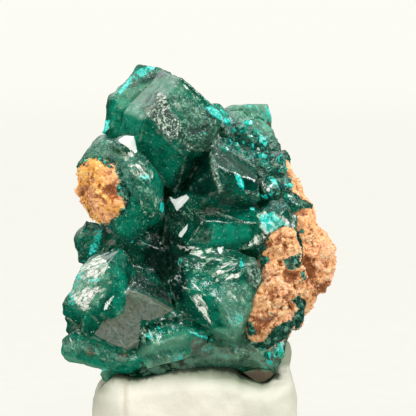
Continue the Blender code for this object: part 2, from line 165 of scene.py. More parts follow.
GLINT = (
    (1.0, 0.8, 117, 140, 126, 135, 134, 135, 138, 152, 135, 154),
    (0.86, 0.8, 168, 195, 175, 198, 187, 193, 190, 198, 185, 205, 177, 213, 171, 204),
    (1.0, 0.8, 188, 222, 187, 230, 182, 238, 178, 237, 179, 233),
    (0.9, 0.8, 181, 83, 185, 84, 193, 92, 186, 90),
    (0.8, 0.8, 102, 311, 105, 302, 114, 293, 115, 297, 107, 311),
    (0.9, 0.6, 190, 281, 195, 284, 201, 290, 200, 292, 193, 286),
    (0.7, 1.0, 190, 296, 200, 292, 207, 303, 208, 312, 198, 306),
    (0.7, 0.8, 192, 303, 197, 304, 214, 326, 213, 329, 203, 319),
    (0.7, 0.8, 203, 304, 208, 306, 216, 320, 213, 319),
    (0.8, 0.7, 214, 292, 224, 302, 222, 305, 217, 300),
    (1.0, 0.7, 182, 246, 189, 247, 192, 251, 186, 251),
    (1.0, 0.7, 216, 247, 224, 246, 223, 251, 220, 255),
    (0.7, 0.6, 252, 227, 267, 231, 267, 232, 252, 229),
    (0.8, 0.6, 246, 246, 256, 239, 262, 240, 250, 247),
    (0.8, 0.7, 265, 190, 272, 181, 275, 183, 269, 193),
    (0.8, 0.7, 238, 124, 242, 122, 244, 128, 240, 132),
    (0.7, 0.8, 240, 108, 242, 107, 254, 113, 260, 124, 258, 126, 251, 116),
    (0.7, 0.8, 255, 106, 258, 106, 265, 124, 263, 126),
    (0.8, 0.7, 256, 148, 259, 146, 261, 150, 258, 152),
    (0.68, 0.8, 66, 338, 71, 336, 73, 342, 68, 344),
    (0.9, 0.7, 278, 338, 283, 337, 283, 342, 279, 343),
    (0.9, 0.5, 250, 269, 252, 269, 252, 272, 250, 272),
    (0.8, 0.5, 239, 304, 246, 303, 246, 305, 240, 306),
    (0.8, 0.6, 101, 165, 110, 157, 112, 158, 103, 167),
)
FLASH = (
    (1.1, 1.0, 118, 92, 123, 85, 130, 76, 133, 77, 131, 84, 124, 90, 119, 96),
    (0.8, 1.2, 130, 76, 140, 67, 154, 65, 155, 69, 145, 76, 134, 81),
    (1.0, 0.8, 148, 68, 154, 65, 156, 69, 149, 73),
    (1.0, 1.0, 103, 119, 110, 120, 109, 128, 104, 135, 101, 133),
    (1.1, 1.0, 205, 107, 211, 105, 220, 112, 229, 120, 230, 126, 221, 121, 210, 114),
    (0.7, 1.2, 206, 102, 224, 106, 230, 113, 229, 119, 220, 112, 210, 105),
    (0.5, 2.0, 228, 105, 262, 103, 269, 106, 272, 130, 264, 128, 256, 112, 236, 112),
    (0.8, 0.8, 266, 106, 270, 108, 272, 124, 269, 122),
    (0.44, 2.0, 164, 80, 178, 80, 190, 92, 180, 98, 166, 92),
    (1.0, 0.8, 234, 174, 240, 174, 245, 184, 244, 191, 238, 186),
    (1.1, 0.8, 256, 129, 262, 134, 268, 142, 266, 148, 259, 141),
    (0.9, 0.8, 251, 143, 254, 143, 255, 151, 252, 150),
    (1.1, 0.8, 257, 152, 268, 154, 266, 159, 258, 157),
    (1.1, 0.8, 269, 179, 276, 178, 279, 185, 272, 185),
    (1.0, 0.8, 283, 182, 290, 184, 290, 188, 284, 186),
    (1.0, 0.8, 258, 193, 268, 196, 268, 200, 260, 197),
    (1.1, 0.8, 249, 207, 256, 207, 254, 211, 250, 210),
    (0.72, 1.5, 95, 222, 104, 226, 103, 236, 100, 248, 93, 256, 86, 262, 79, 276, 74, 282, 76, 268, 86, 256,
     92, 244, 94, 232),
    (0.95, 1.0, 90, 244, 98, 242, 96, 252, 88, 258),
    (0.72, 2.0, 70, 280, 80, 264, 86, 262, 82, 280, 76, 296, 74, 312, 68, 304, 68, 290),
    (1.0, 0.8, 90, 278, 100, 279, 100, 282, 90, 282),
    (1.0, 0.8, 160, 200, 165, 203, 164, 214, 160, 211),
    (0.95, 1.2, 258, 215, 272, 211, 284, 221, 292, 228, 280, 229, 270, 235, 262, 228),
    (1.1, 0.8, 258, 248, 270, 242, 271, 245, 263, 249),
    (0.8, 1.0, 239, 256, 243, 258, 244, 268, 241, 272, 239, 266),
    (0.9, 0.7, 202, 132, 206, 132, 206, 135, 203, 135),
    (0.54, 3.0, 222, 306, 248, 306, 252, 318, 238, 328, 220, 320),
    (0.9, 0.6, 189, 331, 204, 335, 214, 340, 214, 342, 202, 338, 190, 334),
    (0.55, 1.5, 144, 332, 160, 323, 184, 328, 184, 331, 166, 332, 148, 341),
    (0.46, 3.0, 200, 346, 216, 344, 240, 342, 252, 350, 236, 360, 202, 358),
    (1.0, 0.8, 140, 175, 150, 174, 152, 179, 143, 180),
    (1.0, 1.0, 277, 342, 284, 340, 284, 356, 276, 358),
    (0.6, 2.0, 256, 362, 270, 360, 274, 368, 262, 372),
    (0.6, 1.5, 168, 352, 184, 350, 186, 362, 170, 364),
)
# Grey faces: mostly a painted reflection of grey surroundings, as on the large face and a small square,
# partly a grey film on the lowest faces
FILM_AND_PAINTED_REFLECTION = (
    (1.0, 0.9, 127, 289, 140, 293, 155, 299, 165, 304, 174, 309, 163, 316, 150, 320, 141, 320, 140, 330,
     138, 341, 139, 346, 128, 350, 110, 343, 94, 334, 98, 329, 103, 321, 115, 318, 123, 313, 126, 303),
    (0.45, 1.5, 190, 244, 193, 228, 214, 226, 217, 229, 210, 246),
    (0.6, 1.5, 200, 213, 208, 206, 222, 208, 216, 216, 206, 216),
    (0.7, 1.0, 103, 240, 115, 239, 117, 245, 104, 246),
    (0.6, 3.0, 191, 337, 204, 338, 213, 342, 213, 352, 210, 360, 197, 360, 190, 352, 188, 344),
    (0.4, 4.0, 150, 358, 170, 353, 192, 356, 192, 369, 170, 372, 150, 374),
    (0.5, 4.0, 212, 342, 236, 343, 262, 338, 280, 346, 276, 362, 262, 370, 236, 367, 214, 364),
    (0.5, 1.5, 70, 322, 82, 324, 80, 332, 70, 330),
)
SHADE = (
    (0.8, 2.0, 127, 87, 140, 80, 156, 72, 163, 74, 150, 83, 132, 87),
    (0.9, 2.5, 160, 203, 176, 172, 190, 158, 208, 151, 213, 175, 218, 196, 200, 196, 176, 192),
    (0.8, 2.5, 217, 197, 245, 200, 272, 196, 272, 205, 245, 208, 220, 205),
    (1.0, 3.0, 141, 262, 150, 240, 166, 218, 176, 240, 170, 262, 168, 288, 152, 272),
    (0.8, 2.0, 139, 348, 140, 338, 146, 327, 160, 320, 178, 318, 190, 326, 170, 321, 152, 326, 145, 340),
    (0.7, 3.0, 232, 152, 258, 162, 266, 180, 262, 196, 246, 194, 240, 176),
    (0.45, 4.0, 215, 153, 231, 152, 238, 176, 229, 198, 219, 190),
    (0.95, 3.0, 164, 246, 182, 256, 188, 280, 182, 304, 168, 296),
    (0.85, 2.0, 128, 284, 132, 276, 141, 274, 165, 288, 174, 304, 155, 297, 140, 291),
    (0.6, 2.0, 188, 212, 206, 204, 232, 214, 245, 222, 215, 222, 195, 222),
)
GLOW = (
    (1.0, 4.0, 110, 96, 141, 103, 142, 124, 136, 148, 110, 130),
    (0.45, 4.0, 141, 120, 160, 135, 176, 143, 186, 152, 178, 180, 160, 176, 142, 152),
    (0.7, 2.5, 149, 166, 160, 174, 163, 203, 151, 227, 146, 200),
    (1.0, 3.0, 118, 214, 146, 202, 147, 224, 133, 240, 114, 230),
    (0.6, 2.5, 114, 264, 124, 276, 125, 298, 118, 316, 110, 300),
    (0.8, 3.0, 212, 224, 248, 224, 252, 238, 225, 245, 210, 243),
    (0.5, 4.0, 192, 268, 212, 274, 222, 300, 214, 324, 198, 312, 188, 290),
    (0.8, 3.0, 222, 282, 250, 284, 252, 326, 226, 330, 212, 300),
    (0.6, 3.0, 112, 142, 134, 154, 150, 166, 156, 196, 140, 206, 118, 176),
    (0.6, 3.0, 150, 330, 176, 324, 192, 330, 192, 358, 150, 358),
    (0.8, 3.0, 192, 330, 262, 326, 284, 340, 276, 356, 236, 358, 196, 350),
    (0.7, 2.5, 142, 358, 166, 356, 168, 372, 142, 376),
    (0.9, 3.0, 118, 70, 153, 66, 160, 72, 132, 88, 118, 100, 112, 92),
    (1.0, 2.5, 60, 336, 84, 336, 120, 350, 146, 360, 150, 378, 120, 372, 99, 372, 60, 360),
    (1.0, 2.5, 226, 104, 262, 101, 272, 106, 276, 126, 274, 138, 256, 128, 232, 120),
    (0.9, 3.0, 68, 290, 70, 274, 84, 260, 98, 254, 110, 266, 112, 284, 100, 306, 84, 316, 70, 310),
    (0.7, 3.0, 158, 84, 178, 84, 198, 100, 208, 116, 192, 128, 176, 114, 164, 100),
    (0.9, 3.0, 76, 232, 90, 224, 96, 236, 90, 258, 80, 256),
    (0.5, 4.0, 84, 150, 100, 140, 112, 140, 116, 150, 104, 158, 86, 160),
    (0.6, 2.0, 205, 104, 218, 103, 230, 114, 229, 126, 214, 117),
)
# Brownish soil on the lowest faces; it also gives off a painted glow that lightens them
EARTH = (
    (0.55, 4.0, 166, 354, 178, 350, 192, 354, 200, 360, 196, 370, 172, 373, 160, 368),
    (0.45, 4.0, 190, 338, 205, 338, 214, 342, 212, 360, 197, 362),
    (0.52, 4.0, 198, 342, 232, 345, 246, 352, 240, 364, 222, 362, 200, 362),
    (0.58, 4.0, 246, 342, 270, 342, 276, 350, 262, 364, 248, 362),
    (0.4, 4.0, 211, 328, 236, 325, 258, 328, 262, 337, 258, 343, 236, 343, 214, 341),
    (1.0, 1.5, 243, 372, 256, 369, 272, 371, 275, 376, 268, 386, 262, 387, 250, 382),
    (0.6, 2.0, 252, 352, 262, 348, 264, 356, 256, 360),
    (0.52, 4.0, 136, 366, 150, 361, 170, 357, 174, 372, 140, 379),
)
BUSY = (
    (1.0, 3.0, 230, 114, 262, 125, 283, 145, 292, 168, 300, 195, 283, 212, 268, 205, 267, 184, 258, 168,
     245, 159, 230, 152, 214, 152, 222, 140, 226, 128),
    (0.5, 2.5, 256, 208, 276, 204, 296, 218, 294, 242, 280, 240, 262, 234),
    (0.45, 3.0, 166, 212, 186, 206, 186, 222, 178, 240, 186, 246, 176, 252, 164, 240),
    (0.9, 2.5, 262, 334, 288, 332, 288, 362, 262, 366),
    (0.5, 3.0, 86, 224, 104, 226, 102, 250, 84, 270, 76, 256),
)
STAIN = (
    (1.0, 2.0, 244, 371, 262, 366, 278, 370, 268, 384, 250, 380),
    (0.8, 1.0, 86, 348, 92, 347, 94, 355, 88, 356),
    (0.6, 1.0, 118, 352, 128, 350, 130, 360, 120, 361),
)
# Matrix: the outline that each patch shows, the crystal that grows over it and its hollows, sunk and painted
# darker as shade
FRONT_PATCH = (279, 230, 288, 226, 296, 228, 300, 240, 302, 262, 303, 280, 303, 296, 301, 306, 293, 317,
    284, 322, 273, 330, 264, 340, 256, 339, 249, 330, 250, 320, 248, 312, 247, 304, 251, 295, 257, 283, 266,
    273, 271, 262, 265, 252, 269, 243)
LEFT_PATCH = (72, 171, 80, 168, 88, 164, 96, 160, 103, 163, 110, 166, 115, 176, 119, 184, 122, 196, 121,
    204, 117, 208, 114, 215, 108, 220, 95, 219, 88, 214, 80, 206, 70, 198)
FRONT_GREEN = (
    (0.66, 1.5, 282, 258, 288, 257, 296, 254, 300, 246, 303, 256, 300, 268, 292, 271, 285, 268),
    (0.9, 1.2, 294, 296, 301, 294, 305, 302, 302, 312, 296, 306),
    (0.62, 1.5, 250, 320, 256, 322, 258, 336, 251, 334),
    (0.7, 1.2, 277, 228, 284, 226, 286, 231, 279, 233),
)
LEFT_GREEN = (
    (0.9, 1.5, 117, 182, 124, 184, 128, 196, 121, 199, 117, 191),
    (0.7, 1.5, 96, 160, 108, 164, 114, 172, 106, 170, 97, 165),
)
BACK_GREEN = (
    (1.0, 1.5, 292, 222, 298, 224, 301, 240, 303, 262, 300, 266, 296, 250),
    (1.0, 1.5, 296, 296, 304, 296, 306, 304, 301, 316, 291, 328, 284, 332, 292, 314),
    (1.0, 1.5, 272, 134, 283, 140, 290, 152, 292, 164, 286, 162, 280, 156, 274, 150),
    (1.0, 1.5, 278, 180, 288, 190, 298, 195, 308, 199, 315, 204, 312, 209, 300, 207, 290, 202, 280, 196),
    (0.8, 1.0, 300, 229, 303, 228, 304, 232, 300, 233),
)
FRONT_HOLLOW = (
    (0.9, 2.0, 284, 270, 292, 272, 300, 270, 301, 278, 292, 284, 284, 280),
    (0.8, 1.5, 256, 320, 266, 318, 274, 312, 280, 316, 270, 326, 262, 336, 255, 334),
    (0.7, 1.2, 275, 238, 280, 236, 281, 242, 276, 246),
    (0.7, 1.5, 268, 290, 276, 286, 280, 296, 274, 304, 268, 300),
    (0.6, 1.5, 284, 296, 292, 292, 296, 302, 288, 308),
)
LEFT_HOLLOW = (
    (0.5, 4.0, 76, 180, 90, 180, 93, 192, 92, 206, 94, 214, 84, 210, 74, 192),
    (1.3, 2.0, 102, 189, 110, 184, 121, 187, 119, 199, 109, 198),
)
BACK_HOLLOW = (
    (0.9, 2.5, 302, 256, 312, 258, 314, 272, 306, 286, 300, 282),
    (0.6, 2.5, 312, 284, 326, 280, 330, 288, 318, 294, 310, 300),
    (0.6, 2.0, 298, 204, 306, 204, 308, 216, 300, 218),
)
MARKS = dict(etched=ETCHED, sheen=SHEEN, shards=SHARDS, flakes=FLAKES, glint=GLINT, flash=FLASH, film=FILM_AND_PAINTED_REFLECTION,
             shade=SHADE, earth=EARTH, glow=GLOW, busy=BUSY, stain=STAIN)
# Small shifts that bring the outline nearer: (x, y, reach, shift right, shift down), in picture units
SHIFTS = (
    (141, 66, 12, 0, -3.0), (158, 70, 9, 1.0, -3.0), (113, 96, 11, -4.5, -3.0), (96, 144, 11, -3.5, -4.5),
    (84, 155, 8, -3.5, -1.0), (79, 174, 8, -5.0, 0.0), (295, 176, 8, 4.0, 0.0), (313, 308, 8, -2.5, 0.0),
    (80, 224, 7, 4.0, 0.0), (84, 266, 7, -1.5, 0.0), (79, 164, 10, -4.5, 0.0), (83, 211, 9, 4.5, 0.0),
    (75, 250, 8, 3.5, 0.0), (68, 314, 7, -6.0, 0.0), (64, 353, 9, -6.0, 0.0), (106, 143, 8, -1.0, -6.0),
    (69, 290, 7, 3.0, 0.0), (333, 246, 8, 4.0, 0.0), (285, 334, 8, 4.5, 0.0), (271, 116, 11, 3.0, 0.0),
    (282, 150, 9, 3.0, 0.0), (308, 194, 9, -5.5, 1.0), (324, 221, 9, -5.5, 1.0), (326, 288, 9, 4.5, 1.5),
    (297, 326, 9, 6.0, 0.0), (264, 378, 10, 3.0, 1.5),
)
# Where the putty meets the stone along the front: (x, y) in picture units
PUTTY_LINE = ((93, 399), (98, 390), (105, 383), (115, 374), (125, 376), (135, 378), (145, 377), (160, 374),
              (172, 371), (190, 368), (210, 367), (230, 367), (235, 370), (240, 375), (250, 379), (262, 383),
              (268, 382), (277, 373), (288, 372), (296, 385), (300, 398))
# How far below that line the putty carries a painted contact shadow and a painted shade, in picture units:
# (x, where the contact shadow starts to fade, how fast, where the shade starts to fade, how fast)
PUTTY_LIP = ((110, 0, 2.0, 4, 6), (130, 1.5, 2.0, 5, 3.2), (150, 0.3, 1.5, 1, 5), (170, 1.3, 1.5, 3.5, 7),
             (190, 2.3, 2.8, 7, 9), (210, 1.4, 2.6, 6.5, 10.5), (230, 2.2, 5.5, 11, 11),
             (250, 0.4, 2.2, 4, 9), (270, 0, 1.5, 1, 8))
# Right side of the pad and its mound: (height, reach to the right) in mm
PUTTY_SIDE = ((4.5, 9.7), (5.2, 9.4), (5.8, 9.2), (6.6, 8.9), (7.1, 8.7), (7.6, 8.85), (8.6, 9.1),
              (10.2, 9.0))
# Soft panels: (name, azimuth with 0 toward the camera, elevation, size in metres, radiance, tint)
PANELS = (
    ("panel_behind_left", -155, 42, 0.42, 1.4, (1.0, 1.0, 1.0)),
    ("panel_left", -84, 20, 0.22, 3.0, (1.0, 1.0, 1.0)),
    ("panel_top_front", 10, 54, 0.28, 9.5, (1.0, 1.0, 1.0)),
    ("panel_right", 78, 42, 0.30, 14.0, (1.0, 1.0, 1.0)),
    ("panel_front_left", -52, 28, 0.22, 9.0, (1.0, 0.95, 0.85)),
)
PANEL_DISTANCE = 0.7

# The camera's axes and its place
FORWARD = Vector((0.0, math.cos(CAMERA_LIFT), -math.sin(CAMERA_LIFT)))
RIGHT = Vector((1.0, 0.0, 0.0))
UP = RIGHT.cross(FORWARD)
EYE = AIM - FORWARD * CAMERA_DISTANCE


# Picture units


def picture_units(points):
    """Where points fall in the picture, as two columns, x to the right and y down."""
    offset = points - np.array(EYE)
    depth = offset @ np.array(FORWARD)
    across = FRAME_SIZE / 2 + FOCAL_LENGTH * (offset @ np.array(RIGHT)) / depth
    down = FRAME_SIZE / 2 - FOCAL_LENGTH * (offset @ np.array(UP)) / depth
    return np.stack((across, down), axis=1)


def shifted(points):
    """Points after the small shifts, across the line of sight."""
    places = picture_units(points)
    for x, y, reach, across, down in SHIFTS:
        distance = ((places - np.array((x, y))) ** 2).sum(axis=1)
        share = np.exp(-distance / (2 * (0.6 * reach) ** 2))[:, None]
        points = points + PICTURE_UNIT * share * (across * np.array(RIGHT) - down * np.array(UP))
    return points


def seen_points(mesh, points, normals):
    """True for each point that the camera sees past the rest of the mesh."""
    tree = surface_tree(mesh)
    seen = np.zeros(len(points), bool)
    facing = np.einsum("ij,ij->i", normals, np.array(EYE) - points) > 0
    for index in np.nonzero(facing)[0]:
        offset = Vector(points[index]) - EYE
        hit = tree.ray_cast(EYE, offset.normalized())
        seen[index] = hit[3] is not None and hit[3] > offset.length - SEEN_WITHIN
    return seen


def depth_inside(places, outline):
    """How far each place lies inside an outline, negative outside, in picture units."""
    corners = np.array(outline, float).reshape(-1, 2)
    nearest = np.full(len(places), 1e9)
    inside = np.zeros(len(places), bool)
    for start, end in zip(corners, np.roll(corners, -1, axis=0)):
        along = end - start
        offset = places - start
        share = np.clip(offset @ along / (along @ along), 0, 1)
        nearest = np.minimum(nearest, np.linalg.norm(offset - share[:, None] * along, axis=1))
        above = (start[1] > places[:, 1]) != (end[1] > places[:, 1])
        rise = end[1] - start[1] if end[1] != start[1] else 1e-9
        crossing = start[0] + (places[:, 1] - start[1]) * along[0] / rise
        inside ^= above & (places[:, 0] < crossing)
    return np.where(inside, nearest, -nearest)


def marked(places, entries):
    """Strongest mark at each place, from 0 to 1."""
    result = np.zeros(len(places))
    for strength, softness, *corners in entries:
        corners = np.array(corners, float).reshape(-1, 2)
        low = corners.min(axis=0) - softness
        high = corners.max(axis=0) + softness
        near = np.nonzero(((places > low) & (places < high)).all(axis=1))[0]
        value = strength * np.clip(0.5 + 0.5 * depth_inside(places[near], corners) / softness, 0, 1)
        result[near] = np.maximum(result[near], value)
    return result


# Meshes


def merged_copy(packed):
    """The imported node's mesh in a new bmesh, with its loose triangles merged."""
    bm = bmesh.new()
    bm.from_mesh(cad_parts[packed].data)
    bmesh.ops.remove_doubles(bm, verts=bm.verts[:], dist=MERGE_DISTANCE)
    return bm


def new_object(name, data):
    item = bpy.data.objects.new(name, data)
    bpy.context.scene.collection.objects.link(item)
    return item


def object_from_bmesh(name, bm):
    mesh = bpy.data.meshes.new(name)
    bm.to_mesh(mesh)
    bm.free()
    return new_object(name, mesh)


def plain_mesh(item):
    """The object's mesh with its modifiers applied; the object goes."""
    graph = bpy.context.evaluated_depsgraph_get()
    mesh = bpy.data.meshes.new_from_object(item.evaluated_get(graph))
    name = item.name
    bpy.data.objects.remove(item, do_unlink=True)
    mesh.name = name
    return mesh


def even_mesh(name, packed, voxel, passes):
    """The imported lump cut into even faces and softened, as a plain mesh."""
    item = object_from_bmesh(name, merged_copy(packed))
    remesh = item.modifiers.new("even", "REMESH")
    remesh.mode = "VOXEL"
    remesh.voxel_size = voxel
    smooth = item.modifiers.new("soften", "SMOOTH")
    smooth.factor = 0.5
    smooth.iterations = passes
    return plain_mesh(item)


def surface_tree(mesh):
    return BVHTree.FromPolygons([v.co for v in mesh.vertices], [p.vertices for p in mesh.polygons])


def store(mesh, name, values):
    attribute = mesh.attributes.get(name) or mesh.attributes.new(name, "FLOAT", "POINT")
    attribute.data.foreach_set("value", np.asarray(values, np.float32))


def stored(item, name):
    values = np.empty(len(item.data.vertices), np.float32)
    item.data.attributes[name].data.foreach_get("value", values)
    return values


def rows_of(mesh, name):
    """The mesh's points or normals, one row each."""
    flat = np.empty(len(mesh.vertices) * 3, np.float32)
    mesh.vertices.foreach_get(name, flat)
    return flat.reshape(-1, 3).astype(float)


def edge_ends(mesh):
    """First and second point of each edge, and how many edges meet at each point."""
    edges = np.empty(len(mesh.edges) * 2, np.int32)
    mesh.edges.foreach_get("vertices", edges)
    return (*edges.reshape(-1, 2).T, np.bincount(edges, minlength=len(mesh.vertices)))


def move_points(mesh, points):
    mesh.vertices.foreach_set("co", points.astype(np.float32).ravel())
    mesh.update()


def smooth_faces(mesh):
    mesh.polygons.foreach_set("use_smooth", np.ones(len(mesh.polygons), bool))


def noise_field(points, size, seed=0.0, octaves=1):
    """Smooth noise from about -1 to 1 at each point, with bumps of the given size."""
    shift = Vector((seed * 7.3, seed * 3.1, seed * 5.7))
    values = np.empty(len(points))
    for index, point in enumerate(points):
        place = Vector(point) / size + shift
        total = noise.noise(place)
        weight = 0.5
        for _ in range(octaves - 1):
            place = place * 2.03
            total += weight * noise.noise(place)
            weight *= 0.5
        values[index] = total
    return values


def crumb_field(points, size):
    """Rounded lumps of the given size, highest in their middles."""
    return np.array([0.5 - noise.voronoi(Vector(point) / size)[0][0] for point in points])


def smooth_step(low, high, values):
    share = np.clip((values - low) / (high - low), 0, 1)
    return share * share * (3 - 2 * share)


def finished(name, mesh, material, slot, *replaced):
    """The mesh as a piece that rides on the stone's one body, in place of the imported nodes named."""
    mesh.materials.clear()
    mesh.materials.append(material)
    item = new_object(name, mesh)
    if replaced:
        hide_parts(*replaced)
    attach(item, BODY)
    return item


class FacetMesh:
    """Cuts each flat facet of a crystal solid into small even triangles, finer toward the camera."""

    def __init__(self, bm, fine, coarse):
        self.points = []
        self.triangles = []
        self.facet_of = []
        self.rim = []
        self.facets = 0
        self.along_edge = {}
        spacing = {face: fine if face.normal.dot(-FORWARD) > -0.05 else coarse for face in bm.faces}
        for vert in bm.verts:
            vert.index = self.add_point(vert.co, 0.0)
        for edge in bm.edges:
            size = min(spacing[face] for face in edge.link_faces)
            start, end = edge.verts
            steps = max(1, round(edge.calc_length() / size))
            inner = [self.add_point(start.co.lerp(end.co, step / steps), 0.0) for step in range(1, steps)]
            self.along_edge[edge] = [start.index, *inner, end.index]
        for face in bm.faces:
            self.cut_facet(face, spacing[face])
            self.facets += 1

    def add_point(self, place, rim_distance):
        self.points.append(tuple(place))
        self.rim.append(rim_distance)
        return len(self.points) - 1

    def add_triangle(self, corners):
        if len(set(corners)) == 3:
            self.triangles.append(tuple(corners))
            self.facet_of.append(self.facets)

    def boundary(self, face):
        ring = []
        for loop in face.loops:
            chain = self.along_edge[loop.edge]
            if chain[0] != loop.vert.index:
                chain = chain[::-1]
            ring.extend(chain[:-1])
        return ring

    def cut_facet(self, face, size):
        ring = self.boundary(face)
        if len(ring) == 3:
            self.add_triangle(ring)
            return
        side = face.normal.orthogonal().normalized()
        up = face.normal.cross(side)
        origin = face.verts[0].co.copy()
        flat = (np.array([self.points[i] for i in ring]) - np.array(origin)) @ np.array((side, up)).T
        inner = self.lattice(flat, size)
        depth = depth_inside(inner, flat) if len(inner) else np.zeros(0)
        inner, depth = inner[depth > 0.55 * size], depth[depth > 0.55 * size]
        places = [Vector(place) * (1.0 / size) for place in np.concatenate((flat, inner))]
        result = delaunay_2d_cdt(places, [], [list(range(len(ring)))], 1, 1e-6)
        made_places, _, faces, sources = result[:4]
        names = []
        for place, source in zip(made_places, sources):
            source = [s for s in source if s < len(places)]
            if source and source[0] < len(ring):
                names.append(ring[source[0]])
            else:
                spot = origin + side * (place.x * size) + up * (place.y * size)
                names.append(self.add_point(spot, depth[source[0] - len(ring)] if source else 0.0))
        for corners in faces:
            self.add_triangle([names[corner] for corner in corners])

    @staticmethod
    def lattice(flat, size):
        low = flat.min(axis=0)
        high = flat.max(axis=0)
        rows = int((high[1] - low[1]) / (size * 0.866)) + 1
        columns = int((high[0] - low[0]) / size) + 1
        grid_x, grid_y = np.meshgrid(np.arange(columns), np.arange(rows))
        x = low[0] + (grid_x + 0.5 * (grid_y % 2)) * size
        y = low[1] + (grid_y + 0.5) * size * 0.866
        return np.stack((x.ravel(), y.ravel()), axis=1)

    def to_mesh(self, name):
        mesh = bpy.data.meshes.new(name)
        mesh.from_pydata(self.points, [], self.triangles)
        mesh.update()
        return mesh

    def facet_chances(self):
        """Three fixed random numbers for each facet, averaged where facets meet, one row for each point."""
        chance = np.random.default_rng(11).random((self.facets, 3))[np.array(self.facet_of)]
        totals = np.zeros((len(self.points), 3))
        counts = np.zeros(len(self.points))
        for corners in np.array(self.triangles).T:
            np.add.at(totals, corners, chance)
            np.add.at(counts, corners, 1)
        return totals / np.maximum(counts, 1)[:, None]


def ease_edges(mesh, rim, width, passes, share):
    """Rounds the crystal edges by drawing a share of the points near them towards their neighbours."""
    points = rows_of(mesh, "co")
    first, second, count = edge_ends(mesh)
    weight = (share * np.clip(1 - rim / width, 0, 1))[:, None]
    for _ in range(passes):
        total = np.zeros_like(points)
        np.add.at(total, first, points[second])
        np.add.at(total, second, points[first])
        points += 0.5 * weight * (total / count[:, None] - points)
    move_points(mesh, points)


# Nodes


class Wire:
    """A value on its way through a node tree. Adding or multiplying wires adds their Math nodes."""

    def __init__(self, socket):
        self.socket = socket
        self.tree = socket.id_data

    def __add__(self, other):
        return calc("ADD", self, other)

    def __sub__(self, other):
        return calc("SUBTRACT", self, other)

    def __rsub__(self, other):
        return calc("SUBTRACT", other, self)

    def __mul__(self, other):
        return calc("MULTIPLY", self, other)

    def ramp(self, low, high, start=0.0, end=1.0):
        """Eases from start to end as the value goes from low to high."""
        inputs = {"Value": self, "From Min": low, "From Max": high, "To Min": start, "To Max": end}
        return out(node(self.tree, "ShaderNodeMapRange", inputs, interpolation_type="SMOOTHSTEP"), "Result")


def feed(made, inputs):
    """Links wires to a node's inputs and sets plain values there; a colour has three parts."""
    for key, value in inputs.items():
        target = made.inputs[key]
        source = value.socket if isinstance(value, Wire) else value
        if isinstance(source, bpy.types.NodeSocket):
            made.id_data.links.new(source, target)
        else:
            target.default_value = (*value, 1.0) if target.type == "RGBA" else value


def node(tree, kind, inputs=None, **settings):
    """Adds a node with its settings and inputs."""
    made = tree.nodes.new(kind)
    for key, value in settings.items():
        setattr(made, key, value)
    feed(made, inputs or {})
    return made


def out(made, key=0):
    return Wire(made.outputs[key])


def calc(operation, first, second=0.0, **settings):
    tree = (first if isinstance(first, Wire) else second).tree
    return out(node(tree, "ShaderNodeMath", {0: first, 1: second}, operation=operation, **settings))


def most(first, *others):
    """The largest of the wires."""
    for other in others:
        first = calc("MAXIMUM", first, other)
    return first


def vector(operation, first, second, key="Vector"):
    return out(node(first.tree, "ShaderNodeVectorMath", {0: first, 1: second}, operation=operation), key)


def blend(share, first, second):
    """Mixes two colours."""
    return out(node(share.tree, "ShaderNodeMix", {0: share, 6: first, 7: second}, data_type="RGBA"), 2)


def coats(ground, *layers):
    """A colour with others laid over it in turn. Each layer is (share, colour)."""
    for share, colour in layers:
        ground = blend(share, ground, colour)
    return ground


def draw_planes(tree, place, size):
    """Small flat planes at random tilts, as on broken or etched dioptase."""
    scale = calc("DIVIDE", 1.0, size)
    bend = out(node(tree, "ShaderNodeTexNoise", {"Vector": place, "Scale": scale, "Detail": 1.0}), "Color")
    place = vector("ADD", place, vector("MULTIPLY", bend, size))
    cells = node(tree, "ShaderNodeTexVoronoi", {"Vector": place, "Scale": scale})
    tilt = vector("SUBTRACT", out(cells, "Color"), (0.5, 0.5, 0.5))
    height = vector("DOT_PRODUCT", vector("SUBTRACT", place, out(cells, "Position")), tilt, "Value")
    shade = out(node(tree, "ShaderNodeSeparateColor", {"Color": out(cells, "Color")}), "Green")
    seams = node(tree, "ShaderNodeTexVoronoi", {"Vector": place, "Scale": scale}, feature="DISTANCE_TO_EDGE")
    return height, shade, out(seams, "Distance").ramp(0.0, 0.08, 1.0, 0.0)


def draw_specks(tree, place, spacing, radius, share):
    """Scattered round specks, such as dust or grains."""
    cells = node(tree, "ShaderNodeTexVoronoi", {"Vector": place, "Scale": calc("DIVIDE", 1.0, spacing)})
    parts = node(tree, "ShaderNodeSeparateColor", {"Color": out(cells, "Color")})
    near = calc("LESS_THAN", out(cells, "Distance"), radius * out(parts, "Red"))
    return (near * calc("LESS_THAN", out(parts, "Green"), share),)


def draw_etching(tree, place, size):
    """Worm-like etch lines: Level is low in the lines and high on the crests."""
    scale = calc("DIVIDE", 1.0, size)
    worms = node(tree, "ShaderNodeTexNoise", {"Vector": place, "Scale": scale, "Detail": 2.0,
                                              "Roughness": 0.6, "Distortion": 1.4})
    ridge = calc("MULTIPLY", calc("ABSOLUTE", out(worms, "Fac") - 0.5), 5.0, use_clamp=True)
    crumbs = node(tree, "ShaderNodeTexNoise", {"Vector": place, "Scale": scale * 2.6, "Detail": 2.0})
    return (ridge * 0.6 + out(crumbs, "Fac") * 0.55,)


# Patterns that the materials share: the sizes that each takes, what it gives, and what draws it
PATTERNS = {
    "Cleavage planes": (("Size",), ("Height", "Shade", "Seam"), draw_planes),
    "Specks": (("Spacing", "Radius", "Share"), ("Mask",), draw_specks),
    "Etch lines": (("Size",), ("Level",), draw_etching),
}


